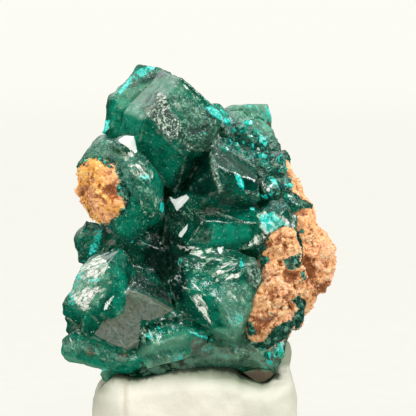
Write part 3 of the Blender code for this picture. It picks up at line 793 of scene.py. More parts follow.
def pattern_group(name):
    """The shader node group of a pattern, built once."""
    if name in bpy.data.node_groups:
        return bpy.data.node_groups[name]
    takes, gives, draw = PATTERNS[name]
    tree = bpy.data.node_groups.new(name, "ShaderNodeTree")
    tree.interface.new_socket("Place", in_out="INPUT", socket_type="NodeSocketVector")
    for title in takes:
        tree.interface.new_socket(title, in_out="INPUT", socket_type="NodeSocketFloat").default_value = 0.5
    for title in gives:
        tree.interface.new_socket(title, in_out="OUTPUT", socket_type="NodeSocketFloat")
    given = tree.nodes.new("NodeGroupInput")
    drawn = draw(tree, *(out(given, title) for title in ("Place", *takes)))
    node(tree, "NodeGroupOutput", dict(zip(gives, drawn)))
    return tree


class Surface:
    """A material in the making: its shader, the mesh's marks and patterns in mm over the object."""

    def __init__(self, name):
        self.material = bpy.data.materials.new(name)
        self.material.use_nodes = True
        self.tree = self.material.node_tree
        coordinates = node(self.tree, "ShaderNodeTexCoord")
        self.place = out(node(self.tree, "ShaderNodeMapping", {"Vector": out(coordinates, "Object"),
                                                               "Scale": (1000, 1000, 1000)}), "Vector")

    def marks(self, *names):
        return [out(node(self.tree, "ShaderNodeAttribute", attribute_name=name), "Fac") for name in names]

    def grain(self, size, detail=2.0, roughness=0.5):
        """Noise with features of a size in mm, from about 0.2 to 0.8."""
        return out(node(self.tree, "ShaderNodeTexNoise", {"Vector": self.place, "Scale": 1.0 / size,
                                                          "Detail": detail, "Roughness": roughness}), "Fac")

    def drawn_out(self, tilt, stretch):
        """The place drawn out along a slope, for patterns with a direction."""
        return out(node(self.tree, "ShaderNodeMapping", {"Vector": self.place, "Rotation": (0.0, tilt, 0.0),
                                                         "Scale": (stretch, 1.0, 1.0)},
                        vector_type="TEXTURE"), "Vector")

    def pattern(self, name, place, **sizes):
        made = node(self.tree, "ShaderNodeGroup", {"Place": place or self.place, **sizes},
                    node_tree=pattern_group(name))
        return [Wire(socket) for socket in made.outputs]

    def planes(self, size, place=None):
        return self.pattern("Cleavage planes", place, Size=size)

    def etching(self, size, place=None):
        return self.pattern("Etch lines", place, Size=size)[0]

    def specks(self, spacing, radius, share):
        return self.pattern("Specks", None, Spacing=spacing, Radius=radius, Share=share)[0]

    def finish(self, relief=None, depth=0.0, **inputs):
        """Sets or links the shader's inputs, and adds the relief as a bump."""
        if relief:
            bump = node(self.tree, "ShaderNodeBump", {"Height": relief, "Distance": depth, "Strength": 1.0})
            inputs["Normal"] = out(bump, "Normal")
        named = {key.replace("_", " "): value for key, value in inputs.items()}
        feed(self.tree.nodes["Principled BSDF"], named)
        return self.material

    def clear(self, look, relief, depth, **inputs):
        """Finishes a see-through stone that gives back some light of its own."""
        absorption = node(self.tree, "ShaderNodeVolumeAbsorption", {"Color": look.absorption,
                                                                    "Density": look.absorption_density})
        feed(self.tree.nodes["Material Output"], {"Volume": out(absorption)})
        return self.finish(relief, depth, Emission_Strength=1.0, IOR=DIOPTASE_IOR,
                           Transmission_Weight=look.clearness, **inputs)


# Materials


def crystal_material(look):
    """Clear deep green, with etched, broken and flashing facets where the mesh is marked, grey film, and
    painted shade, sheen, reflections, highlights and glow.
    """
    stone = Surface("dioptase")
    etched, sheen, shards, flakes, glint, flash, film, shade, earth, glow, busy, stain, edge = stone.marks(
        *MARKS, "edge")
    mottle = stone.grain(0.8, 4.0, 0.6)
    fine = stone.grain(0.3, 3.0, 0.6)
    facet_height, facet_shade, _ = stone.planes(0.9)
    etch = stone.etching(0.55)
    hatch = stone.etching(0.36, stone.drawn_out(0.986, 6.0))
    shard_height, shard_shade, shard_seam = stone.planes(0.27, stone.drawn_out(0.9, 3.0))
    flake_height, flake_shade, flake_seam = stone.planes(0.30, stone.drawn_out(-0.35, 3.0))

    # Grey film and painted reflection: the grey of the large face
    film_and_reflection_tone = coats(
        blend(stone.grain(3.2, 3.0).ramp(0.42, 0.58), look.film, look.light_film_and_reflection),
        (hatch.ramp(0.62, 0.85, 0.0, 0.35), look.pale),
        (fine.ramp(0.54, 0.36, 0.0, 0.40), look.dark_green),
        (mottle.ramp(0.50, 0.70, 0.0, 0.25), look.mid_green),
        (stone.specks(0.9, 0.09, 0.4) * 0.7, look.dark_green))
    film_and_reflection_share = (film + (fine - 0.5) * 0.5).ramp(0.4, 0.6)
    # Soil on the lowest faces, which also gives off a painted glow in its own colour
    soil_and_glow = blend((mottle - (earth - 0.5) * 0.4).ramp(0.36, 0.50), look.earth, look.soil_green)
    soiled_and_glowing = (earth + (mottle - 0.5)).ramp(0.35, 0.65, 0.0, 0.9)

    # Etched faces: dark etch lines, with painted sheen and white highlights on the crests
    etched = most(etched, busy * 0.56)
    level = etch + (etched - 0.66)
    etched_deep = etched * etched * etched * etch.ramp(0.58, 0.38, 0.0, 0.85)
    etched_sheen = level.ramp(0.66, 0.98, 0.0, 0.9) * (1.0 - etched_deep)
    etched_highlight = level.ramp(0.96, 1.12)

    # Broken faces: pale and white shards and flakes are painted reflections
    seam = most(shard_seam * shards, flake_seam * flakes)
    broken = most(shard_shade + (shards - 0.75), flake_shade + (flakes - 0.75)) + (etch - 0.55) * 0.55
    broken_highlight = broken.ramp(0.78, 0.94)
    white = most(etched_highlight, broken_highlight) * (1.0 - seam)

    flash = stone.etching(0.75) * 0.7 + (most(flash, busy * 0.46) - 0.70) + shard_shade * 0.35
    turquoise = flash.ramp(0.42, 0.60)
    cyan = flash.ramp(0.78, 0.98)
    glinting = (hatch + (glint - 0.75) * 3.0).ramp(0.42, 0.58)

    tone = coats(
        blend(stone.grain(2.6, 3.0).ramp(0.3, 0.7), look.deep_green, look.mid_green),
        (glow, look.bright_green),
        (mottle.ramp(0.52, 0.32, 0.0, 0.55), look.dark_green),
        (mottle.ramp(0.55, 0.75, 0.0, 0.45), look.bright_green),
        (fine.ramp(0.48, 0.34, 0.0, 0.45), look.dark_green),
        (fine.ramp(0.58, 0.74, 0.0, 0.16), look.painted_sheen),
        (shade * 0.92, look.dark_green),
        (busy * facet_shade.ramp(0.25, 0.7, 0.85, 0.1), look.dark_teal),
        (sheen * hatch.ramp(0.35, 0.75, 0.55, 1.0), look.painted_sheen),
        (film_and_reflection_share, film_and_reflection_tone),
        (soiled_and_glowing, soil_and_glow),
        (etch.ramp(0.50, 0.28) * (etched * 0.8), look.dark_green),
        (level.ramp(0.32, 0.78, 0.0, 0.7), look.painted_sheen),
        (etched_deep, look.dark_green),
        (etched_sheen, look.pale),
        (etched_highlight, look.white),
        # Painted highlight along the crystal edges
        (edge * stone.grain(0.7, 3.0).ramp(0.52, 0.6, 0.0, 0.3), look.pale),
        (most(shards, flakes) * broken.ramp(0.20, 0.0, 0.0, 0.6), look.dark_green),
        (broken.ramp(0.34, 0.60, 0.0, 0.45), look.painted_sheen),
        (broken.ramp(0.54, 0.74, 0.0, 0.9), look.pale),
        (broken_highlight, look.white),
        (seam * 0.45, look.dark_green),
        (turquoise, look.turquoise),
        (cyan, look.cyan),
        (glinting, look.white),
        (stone.specks(0.21, 0.36, 0.45) * (0.65 - most(shade, film) * 0.4), look.pale),
        (most(stain * fine.ramp(0.45, 0.6), stone.specks(1.9, 0.10, 0.16)), look.rust))
    # Painted light: an emission that brightens the soiled lowest faces, the etched and broken faces, the
    # flashes and the glints
    light = coats(
        blend(soiled_and_glowing * 0.38, BLACK, soil_and_glow),
        (etched_sheen * etched, (0.07, 0.10, 0.075)),
        (turquoise, (0.0, 0.16, 0.14)),
        (cyan, (0.06, 0.46, 0.42)),
        (white, (0.36, 0.40, 0.34)),
        (glinting, (0.42, 0.45, 0.42)))
    rough = most(etched * 0.45, sheen * 0.45, film * 0.22) + fine.ramp(0.3, 0.8, 0.06, 0.2)
    relief = stone.grain(1.6, 1.0) * 0.6 + fine * 0.12 + etch * etched * 0.5 + facet_height * busy * 0.9
    relief += (shard_height * shards + flake_height * flakes) * 0.5
    return stone.clear(look, relief, 0.3 * MM, Base_Color=tone, Emission_Color=light,
                       Roughness=rough * (1.0 - shade * 0.7), Coat_Weight=etched * 0.4, Coat_Roughness=0.3)


def druse_material(look):
    """The small crystals: the same stone, less marked."""
    stone = Surface("dioptase_druse")
    height, shade, _ = stone.planes(0.45)
    # Pale crests with painted glints: pale colour and a little emission
    worn_sheen = stone.etching(0.4).ramp(0.60, 0.80)
    flash = shade.ramp(0.80, 0.86)
    tone = coats(blend(shade.ramp(0.2, 0.7), look.dark_teal, look.bright_green),
                 (flash, look.turquoise), (worn_sheen, look.pale))
    light = coats(BLACK, (worn_sheen, (0.08, 0.12, 0.10)), (flash, (0.01, 0.22, 0.20)))
    rough = stone.grain(0.3).ramp(0.3, 0.7, 0.08, 0.3)
    return stone.clear(look, height, 0.15 * MM, Base_Color=tone, Emission_Color=light, Roughness=rough)


def matrix_material(name, look, low, middle, high, inner_light):
    """Crumbly ochre, green where crystal grows over it, painted darker in the hollows and paler on the
    crests as shade and light, and given a painted glow in its own colour.
    """
    crust = Surface(name)
    height, hollow, green = crust.marks("height", "hollow", "green")
    fine = crust.grain(0.30, 4.0, 0.7)
    level = height + (fine - 0.53) * 2.3
    facets = crust.planes(0.34)[1]
    stone = coats(
        blend(crust.etching(0.45).ramp(0.3, 0.9), look.green_dark, look.green_lit),
        (facets.ramp(0.66, 0.80, 0.0, 0.6), look.green_pale),
        (facets.ramp(0.93, 0.96), look.green_flash))
    green = (green + (fine - 0.5) * 1.1).ramp(0.46, 0.56)
    # Painted shade and light: low places and marked hollows take the dark hollow colour, crests the pale
    # crest colour
    tone = coats(
        blend(level.ramp(0.05, 0.42), low, middle),
        (level.ramp(0.45, 0.9), high),
        (crust.grain(2.2, 2.0).ramp(0.5, 0.65, 0.0, 0.45), look.pink),
        (hollow * fine.ramp(0.62, 0.42, 0.25, 0.9), low),
        (crust.specks(0.30, 0.42, 0.35) * 0.6, look.chalk),
        (crust.specks(0.42, 0.40, 0.22) * 0.7, look.hollow),
        (crust.specks(0.60, 0.36, 0.14) * 0.7, look.ember),
        (green, stone))
    rough = crust.grain(0.4).ramp(0.3, 0.7, 0.75, 0.95) - green * 0.55
    relief = crust.grain(0.2, 4.0, 0.7) + crust.grain(0.7, 3.0) * 1.2
    # Painted glow: the crust gives off its own colour
    return crust.finish(relief, 0.35 * MM, Base_Color=tone, Emission_Color=tone,
                        Emission_Strength=inner_light, Roughness=rough, Specular_IOR_Level=0.3)


def putty_material(look):
    """Matt off-white putty with handling marks, painted shade and a painted contact shadow where the stone
    meets it.
    """
    putty = Surface("putty")
    crease, shadow, contact = putty.marks("crease", "shadow", "contact")
    contact = contact + (putty.grain(0.5, 3.0) - 0.5) * 0.5
    tone = coats(
        blend(putty.grain(4.0, 3.0).ramp(0.3, 0.7), look.shade, look.light),
        (putty.grain(1.2, 4.0, 0.7).ramp(0.58, 0.75, 0.0, 0.35), look.grime),
        # Darker along the crease
        (crease * 0.5, look.grime),
        # Painted shade: ends, top-left corner, mound and the band below the stone
        (shadow * 0.95, look.shadow_tint),
        (putty.specks(1.1, 0.07, 0.3) * 0.6, look.grime),
        # Painted contact shadow where the stone meets the putty
        (contact.ramp(0.10, 0.80, 0.0, 0.95), look.painted_contact_shadow))
    relief = putty.grain(1.4, 3.0) + putty.grain(0.25, 2.0) * 0.15
    rough = putty.grain(0.8).ramp(0.3, 0.7, 0.5, 0.7)
    return putty.finish(relief, 0.12 * MM, Base_Color=tone, Roughness=rough, Specular_IOR_Level=0.3)


# Settings


def colour(name, description, value):
    return bpy.props.FloatVectorProperty(name=name, description=description, subtype="COLOR", size=3,
                                         min=0.0, max=1.0, default=value)


def length(name, description, value, least=0.0):
    return bpy.props.FloatProperty(name=name, description=description, subtype="DISTANCE", unit="LENGTH",
                                   min=least, default=value)


class CrystalLook(bpy.types.PropertyGroup):
    deep_green: colour("Deep green", "Inside of thick crystals", (0.0, 0.12, 0.07))
    mid_green: colour("Mid green", "Ordinary faces", (0.0, 0.30, 0.18))
    bright_green: colour("Bright green", "Faces that light comes through", (0.004, 0.55, 0.34))
    dark_green: colour("Dark green", "Faces in shade", (0.0, 0.015, 0.012))
    dark_teal: colour("Dark teal", "Broken ground between crystals", (0.0, 0.14, 0.13))
    turquoise: colour("Turquoise", "Flashes from inside", (0.0, 0.80, 0.66))
    cyan: colour("Cyan", "Brightest flashes", (0.25, 1.0, 0.92))
    pale: colour("Pale", "Etched faces", (0.72, 0.95, 0.76))
    # Painted sheen: pale green for faces that mirror the soft light
    painted_sheen: colour("Satin", "Satin faces", (0.34, 0.90, 0.58))
    white: colour("White", "Facets that catch the light", (0.97, 1.0, 0.94))
    earth: colour("Earth", "Brownish film on the lowest faces", (0.22, 0.17, 0.12))
    # Grey film and painted reflection: mostly the reflection of grey surroundings in one large face
    film: colour("Film", "Grey film on one large face", (0.25, 0.31, 0.22))
    light_film_and_reflection: colour("Film, lighter", "Bluish parts of the film", (0.31, 0.38, 0.31))
    soil_green: colour("Film, greener", "Greenish parts of the film on the lowest faces", (0.18, 0.38, 0.25))
    rust: colour("Rust", "Ochre specks and stains", (0.45, 0.14, 0.03))
    absorption: colour("Body colour", "Colour that passes through the stone", (0.0, 0.867, 0.82))
    absorption_density: bpy.props.FloatProperty(
        name="Depth of colour", description="Absorption per metre", min=0.0, default=1500.0)
    clearness: bpy.props.FloatProperty(
        name="Clearness", description="Share of light that enters the stone", subtype="FACTOR",
        min=0.0, max=1.0, default=0.6)
    detail: length("Detail", "Size of the small triangles on the faces toward the camera",
                   0.15 * MM, 0.05 * MM)
    edge_round: length("Edge rounding", "Width of the worn crystal edges", 0.32 * MM)
    waviness: length("Waviness", "How far the faces stray from flat", 0.13 * MM)
    etch_depth: length("Etch depth", "Depth of the etched steps", 0.10 * MM)


class MatrixLook(bpy.types.PropertyGroup):
    # Partly the matrix's own red-brown, partly painted shade in the hollows
    hollow: colour("Hollow", "Red-brown in the hollows", (0.33, 0.11, 0.040))
    tan: colour("Tan", "Middle ground", (0.99, 0.47, 0.20))
    # Partly pale grains, partly painted light on the crests
    front_tan: colour("Front tan", "Middle ground of the front patch", (0.91, 0.46, 0.20))
    crest: colour("Crest", "Pale crests", (1.0, 0.76, 0.46))
    pink: colour("Pink", "Pinkish patches", (1.0, 0.53, 0.34))
    chalk: colour("Chalk", "Pale grains", (1.0, 0.88, 0.70))
    gold: colour("Gold", "Bright ground of the left patch", (1.0, 0.47, 0.11))
    # Partly painted light, as on the other crests
    gold_crest: colour("Gold crest", "Crests of the left patch", (1.0, 0.71, 0.28))
    green_dark: colour("Dark green", "Crystal over the matrix, in shade", (0.0, 0.04, 0.025))
    green_lit: colour("Green stain", "Crystal over the matrix, in light", (0.02, 0.17, 0.11))
    green_pale: colour("Pale green", "Broken crystal over the matrix", (0.17, 0.40, 0.28))
    green_flash: colour("Green flash", "Bright spots of crystal over the matrix", (0.03, 0.50, 0.40))
    ember: colour("Ember", "Red-orange grains", (0.80, 0.24, 0.05))
    spread: length("Spread", "How far the crust reaches beyond the packed lump", 0.42 * MM)
    voxel: length("Crust detail", "Size of the crust's mesh", 0.125 * MM, 0.08 * MM)


class PuttyLook(bpy.types.PropertyGroup):
    light: colour("Light", "Clean putty", (0.72, 0.705, 0.625))
    shade: colour("Shade", "Handled putty", (0.65, 0.635, 0.545))
    grime: colour("Grime", "Marks and creases", (0.55, 0.50, 0.38))
    # Painted shade: the tint of the shaded ends, corner, mound and band below the stone
    shadow_tint: colour("Mound tint", "Greenish putty at the back", (0.20, 0.235, 0.16))
    # Painted contact shadow where the putty meets the stone
    painted_contact_shadow: colour("Stained", "Grime where the putty meets the stone", (0.008, 0.02, 0.008))
    flat_top: length("Flat top", "Height of the pad's top", 7.2 * MM)
    lean: bpy.props.FloatProperty(
        name="Lean", description="How far the mound at the back leans to the side, per height",
        min=0.0, max=1.0, default=0.33)
    squeeze: length("Squeeze", "Most that the putty rises to meet the stone", 1.5 * MM)
    voxel: length("Putty detail", "Size of the pad's mesh", 0.24 * MM, 0.1 * MM)


class StageLook(bpy.types.PropertyGroup):
    backdrop: colour("Backdrop", "Floor and surroundings", (0.985, 0.975, 0.905))
    fill: bpy.props.FloatProperty(
        name="Fill", description="Soft light from all round", min=0.0, default=0.62)
    reflection: bpy.props.FloatProperty(
        name="Reflections", description="Brightness that glossy faces mirror from behind",
        min=0.0, default=0.5)


# Building


def generic_marks(points, chances):
    """Marks for faces that the picture doesn't show, in the same manner as the ones it does."""
    broad = noise_field(points, 3.2 * MM, 1)
    middle = noise_field(points, 1.6 * MM, 2, 2)
    clump = noise_field(points, 5.0 * MM, 3)
    first, second, third = chances.T
    etched = smooth_step(0.0, 0.35, middle) * smooth_step(0.45, 0.75, first)
    return {
        "etched": 0.8 * etched,
        "sheen": 0.5 * smooth_step(0.7, 0.8, second) * smooth_step(-0.1, 0.3, broad),
        "shards": 0.8 * smooth_step(0.15, 0.4, -middle) * smooth_step(0.3, 0.6, third),
        "flakes": 0.9 * smooth_step(0.3, 0.5, -broad) * smooth_step(0.5, 0.7, second),
        "glint": np.zeros(len(points)),
        "flash": 0.75 * smooth_step(0.38, 0.5, middle) * smooth_step(0.1, 0.3, clump),
        "film": 0.6 * smooth_step(0.9, 0.93, third),
        "shade": 0.8 * smooth_step(0.0, 0.5, -broad) * smooth_step(0.3, 0.6, second),
        "glow": 0.6 * smooth_step(0.5, 0.9, third),
        "earth": 0.8 * smooth_step(11 * MM, 8 * MM, points[:, 2]) * smooth_step(-0.1, 0.3, middle),
        "busy": 0.9 * smooth_step(0.15, 0.35, clump),
        "stain": 0.7 * smooth_step(0.35, 0.55, noise_field(points, 2.0 * MM, 5)),
    }


def build_crystals(look):
    factor = 1.0
    bm = merged_copy("crystal_cluster")
    bmesh.ops.dissolve_degenerate(bm, edges=bm.edges[:], dist=5e-6)
    bmesh.ops.dissolve_limit(bm, angle_limit=math.radians(0.6), verts=bm.verts[:], edges=bm.edges[:])
    bm.normal_update()
    cut = FacetMesh(bm, look.detail * factor, BACK_DETAIL * factor)
    bm.free()
    mesh = cut.to_mesh("dioptase_crystals")
    rim = np.array(cut.rim)

    move_points(mesh, shifted(rows_of(mesh, "co")))
    points = rows_of(mesh, "co")
    normals = rows_of(mesh, "normal")
    seen = seen_points(mesh, points, normals)
    places = picture_units(points[seen])
    marks = generic_marks(points, cut.facet_chances())
    for name, entries in MARKS.items():
        marks[name][seen] = marked(places, entries)
    ease_edges(mesh, rim, look.edge_round, 4, 1 - np.clip(1.4 * marks["film"], 0, 1))

    points = rows_of(mesh, "co")
    waves = noise_field(points, 2.1 * MM, 21) + 0.5 * noise_field(points, 0.8 * MM, 22)
    points += normals * (look.waviness * waves * (1 - 0.8 * marks["film"]))[:, None]
    steps = noise_field(points, 0.55 * MM, 8, 3) * 5
    terraces = np.floor(steps) / 5 + 0.35 * (steps % 1)
    flatness = np.clip(rim / (0.4 * MM), 0.25, 1)
    relief = look.etch_depth * (marks["etched"] * terraces + 0.9 * marks["busy"] * np.abs(terraces))
    points -= normals * (relief * flatness)[:, None]
    move_points(mesh, points)

    for name, values in marks.items():
        store(mesh, name, values)
    # Painted highlight: a pale band along the crystal edges
    store(mesh, "edge", np.clip(1 - rim / EDGE_HIGHLIGHT_BAND, 0, 1))
    smooth_faces(mesh)
    mesh.set_sharp_from_angle(angle=SHARP_ANGLE)
    finished("dioptase_crystals", mesh, crystal_material(look), "crystal", "crystal_cluster")


def build_crust(name, packed, look, material, voxel, rough, outward, patch, greens, hollows):
    """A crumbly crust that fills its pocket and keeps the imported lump's outline where it faces outward."""
    mesh = even_mesh(name, packed, voxel, 4)
    points = rows_of(mesh, "co")
    normals = rows_of(mesh, "normal")
    facing = np.clip(normals @ np.array(Vector(outward).normalized()), 0, 1)
    medium = 1 - 2 * np.abs(noise_field(points, 0.7 * MM, 2, 2))
    small = noise_field(points, 0.30 * MM, 3, 2)
    crumbs = crumb_field(points, 0.55 * MM) + 0.5 * crumb_field(points, 0.30 * MM)
    crumbly = rough * (0.08 * medium + 0.16 * small + 0.26 * crumbs)
    height = 0.14 * noise_field(points, 1.5 * MM, 1, 2) + crumbly
    height -= 0.30 * rough * smooth_step(0.22, 0.45, noise_field(points, 0.65 * MM, 4, 2))

    places = picture_units(points)
    seen = normals @ np.array(FORWARD) < 0.1
    green = np.where(seen, marked(places, greens), 0)
    if patch:
        beyond = 1 - np.clip(0.5 + 0.5 * depth_inside(places[seen], patch) / PATCH_SOFTNESS, 0, 1)
        green[seen] = np.maximum(green[seen], beyond)
    hollow = np.where(seen, marked(places, hollows), 0)
    height = height * (1 - 0.6 * green) - 0.35 * hollow
    spread = look.spread / MM - 0.55 * facing
    points += normals * ((spread + height - 0.08 + 0.1 * green) * MM)[:, None]
    move_points(mesh, shifted(points))
    store(mesh, "height", np.clip(0.55 + 1.6 * height / (0.4 + 0.6 * rough), 0, 1))
    store(mesh, "green", np.maximum(green, 0.42 * smooth_step(0.30, 0.5, noise_field(points, 2.4 * MM, 6))))
    store(mesh, "hollow", hollow)
    smooth_faces(mesh)
    return finished(name, mesh, material, "matrix", packed)


def squeezed_up(mesh, points, normals, stone, most_rise):
    """How far the putty rises to meet the stone pressed into it, smoothed over the pad."""
    rise = np.zeros(len(points))
    limit = most_rise * smooth_step(9 * MM, 4 * MM, points[:, 0]) * smooth_step(4 * MM, 0, points[:, 1])
    for index in np.nonzero((normals[:, 2] > 0.3) & (points[:, 2] > 5.5 * MM))[0]:
        hit = stone.ray_cast(Vector(points[index]), Vector((0, 0, 1)), most_rise * 1.5)
        if hit[3] is not None:
            rise[index] = min(hit[3] + 0.1 * MM, limit[index])
    first, second, count = edge_ends(mesh)
    for _ in range(8):
        total = np.bincount(first, rise[second], len(points)) + np.bincount(second, rise[first], len(points))
        rise = 0.4 * rise + 0.6 * total / count
    return rise


def below_line(points):
    """Where points fall across the picture, and how far below the line where the putty meets the stone."""
    across, down = picture_units(points).T
    return across, down - np.interp(across, *zip(*PUTTY_LINE))


def build_putty(look):
    stone = surface_tree(bpy.data.objects["dioptase_crystals"].data)
    mesh = even_mesh("putty_pad", "mounting_putty", look.voxel * (1.0), 8)
    points = rows_of(mesh, "co")
    normals = rows_of(mesh, "normal")
    height = 0.16 * noise_field(points, 3.4 * MM, 1, 2) + 0.05 * noise_field(points, 1.2 * MM, 2)
    above = np.maximum(points[:, 2] - look.flat_top, 0)
    points[:, 0] += look.lean * above * smooth_step(5 * MM, 7 * MM, points[:, 0])
    line = -6.75 * MM + 0.12 * MM * np.sin(points[:, 2] / (1.3 * MM))
    crease = np.exp(-((points[:, 0] - line) / (0.22 * MM)) ** 2) * (points[:, 1] < -5 * MM)
    height -= 0.22 * crease
    points += normals * (height * MM * smooth_step(0.0, 0.6 * MM, points[:, 2]))[:, None]
    points[:, 2] = np.maximum(points[:, 2], 0) + squeezed_up(mesh, points, normals, stone, look.squeeze)
    over = np.maximum(-below_line(points)[1], 0) * PICTURE_UNIT
    points[:, 2] -= over * smooth_step(0.5 * MM, -2 * MM, points[:, 1])
    side = np.interp(points[:, 2] / MM, *zip(*PUTTY_SIDE)) * MM - 0.4 * MM
    over = np.maximum(points[:, 0] - side, 0) / (0.4 * MM)
    points[:, 0] = np.minimum(points[:, 0], side) + 0.4 * MM * (1 - np.exp(-over)) * (over > 0)
    move_points(mesh, points)

    x, y, z = points.T
    # Painted shade: the mound at the back, both ends and the top-left corner are darker
    mound = smooth_step(7.0 * MM, 7.8 * MM, z) * smooth_step(6 * MM, 8 * MM, x)
    ends = 0.5 * smooth_step(-6 * MM, -10 * MM, x) + 0.38 * smooth_step(1.5 * MM, 6.5 * MM, x)
    corner = 0.9 * smooth_step(-7.4 * MM, -9.2 * MM, x) * smooth_step(4.8 * MM, 6.2 * MM, z)
    # Painted contact shadow just below where the putty meets the stone, and a wider painted shade below that
    across, below = below_line(points)
    at, *rows = np.array(PUTTY_LIP).T
    contact_shadow_start, contact_shadow_fade, shade_start, shade_fade = (np.interp(across, at, row) for row in rows)
    front = smooth_step(96, 116, across) * smooth_step(284, 270, across)
    front *= smooth_step(0.5 * MM, -1.5 * MM, y)
    painted_contact_shadow = front * np.exp(-np.maximum(below - contact_shadow_start, 0) / contact_shadow_fade)
    shaded = front * np.exp(-np.maximum(below - shade_start, 0) / shade_fade)
    # Painted contact shadow also within 1.2 mm of the stone
    near = [stone.find_nearest(Vector(point), 2 * MM)[3] for point in points]
    near = np.array([2 * MM if distance is None else distance for distance in near])
    store(mesh, "crease", crease)
    store(mesh, "shadow", np.max((mound, ends * smooth_step(-1 * MM, 6 * MM, z), corner, shaded), axis=0))
    store(mesh, "contact", np.maximum(smooth_step(1.2 * MM, 0.05 * MM, near), painted_contact_shadow))
    smooth_faces(mesh)
    finished("putty_pad", mesh, putty_material(look), "putty", "mounting_putty")


# Geometry Nodes


def scatter_tree(name):
    """Scatters small pieces over the marked part of a surface, turned and sized at random."""
    tree = bpy.data.node_groups.new(name, "GeometryNodeTree")
    for title, kind in (("Geometry", "Geometry"), ("Piece", "Object"), ("Material", "Material"),
                        ("Spacing", "Float"), ("Smallest", "Float"), ("Largest", "Float"), ("Seed", "Int")):
        tree.interface.new_socket(title, in_out="INPUT", socket_type="NodeSocket" + kind)
    tree.interface.new_socket("Geometry", in_out="OUTPUT", socket_type="NodeSocketGeometry")
    given = tree.nodes.new("NodeGroupInput").outputs
    chosen = node(tree, "GeometryNodeInputNamedAttribute", {"Name": "scatter"}, data_type="FLOAT")
    dots = node(tree, "GeometryNodeDistributePointsOnFaces",
                {"Mesh": given["Geometry"], "Distance Min": given["Spacing"], "Density Max": 4e7,
                 "Density Factor": out(chosen, "Attribute"), "Seed": given["Seed"]},
                distribute_method="POISSON")
    turn = node(tree, "FunctionNodeRandomValue",
                {"Min": (0.0, 0.0, 0.0), "Max": (math.tau, math.tau, math.tau), "Seed": given["Seed"]},
                data_type="FLOAT_VECTOR")
    size = node(tree, "FunctionNodeRandomValue", {2: given["Smallest"], 3: given["Largest"]},
                data_type="FLOAT")
    info = node(tree, "GeometryNodeObjectInfo", {"Object": given["Piece"]})
    copies = node(tree, "GeometryNodeInstanceOnPoints",
                  {"Points": out(dots, "Points"), "Instance": out(info, "Geometry"),
                   "Rotation": out(turn, "Value"), "Scale": out(size, 1)})
    real = node(tree, "GeometryNodeRealizeInstances", {"Geometry": out(copies, "Instances")})
    dressed = node(tree, "GeometryNodeSetMaterial", {"Geometry": out(real, "Geometry"),
                                                     "Material": given["Material"]})
    node(tree, "NodeGroupOutput", {"Geometry": out(dressed, "Geometry")})
    return tree


def scattered(name, ground, share, material, slot, **settings):
    """Copies of a small piece on the ground object's mesh, as one plain mesh."""
    mesh = ground.data.copy()
    store(mesh, "scatter", share)
    item = new_object(name, mesh)
    modifier = item.modifiers.new("scatter", "NODES")
    modifier.node_group = scatter_tree(name + "_scatter")
    settings["Material"] = material
    for socket in modifier.node_group.interface.items_tree:
        if socket.in_out == "INPUT" and socket.name in settings:
            modifier[socket.identifier] = settings[socket.name]
    finished(name, plain_mesh(item), material, slot)


def small_crystal():
    """A six-sided prism with three slanting faces at each end, 1 mm long."""
    bm = bmesh.new()
    bmesh.ops.create_cube(bm, size=4 * MM)
    planes = [(Vector((math.cos(turn), math.sin(turn), 0)), 0.32 * MM)
              for turn in (index * math.tau / 6 for index in range(6))]
    for end, start in ((1, 30), (-1, 90)):
        for index in range(3):
            turn = math.radians(start) + index * math.tau / 3
            slant = math.radians(51)
            planes.append((Vector((math.sin(slant) * math.cos(turn), math.sin(slant) * math.sin(turn),
                                   end * math.cos(slant))), 0.34 * MM))
    for normal, distance in planes:
        geometry = bm.verts[:] + bm.edges[:] + bm.faces[:]
        bmesh.ops.bisect_plane(bm, geom=geometry, dist=1e-9, plane_co=normal * distance,
                               plane_no=normal, clear_outer=True)
        bmesh.ops.holes_fill(bm, edges=[edge for edge in bm.edges if edge.is_boundary], sides=0)
    bmesh.ops.recalc_face_normals(bm, faces=bm.faces[:])
    return object_from_bmesh("small_crystal", bm)


def small_grain():
    """A rough lump of 20 faces, 1 mm across."""
    bm = bmesh.new()
    bmesh.ops.create_icosphere(bm, subdivisions=1, radius=0.5 * MM)
    for vert in bm.verts:
        vert.co *= 1 + 0.35 * noise.noise(vert.co * 1900)
    return object_from_bmesh("small_grain", bm)


def build_druse(look):
    """Small crystals on the broken ground between the large ones."""
    ground = bpy.data.objects["dioptase_crystals"]
    share = np.clip((stored(ground, "busy") - 0.5) * 2, 0, 1) ** 2
    piece = small_crystal()
    scattered("small_crystals", ground, share, druse_material(look), "crystal", Piece=piece,
              Spacing=0.9 * MM, Smallest=0.45, Largest=1.15, Seed=4)
    bpy.data.objects.remove(piece, do_unlink=True)


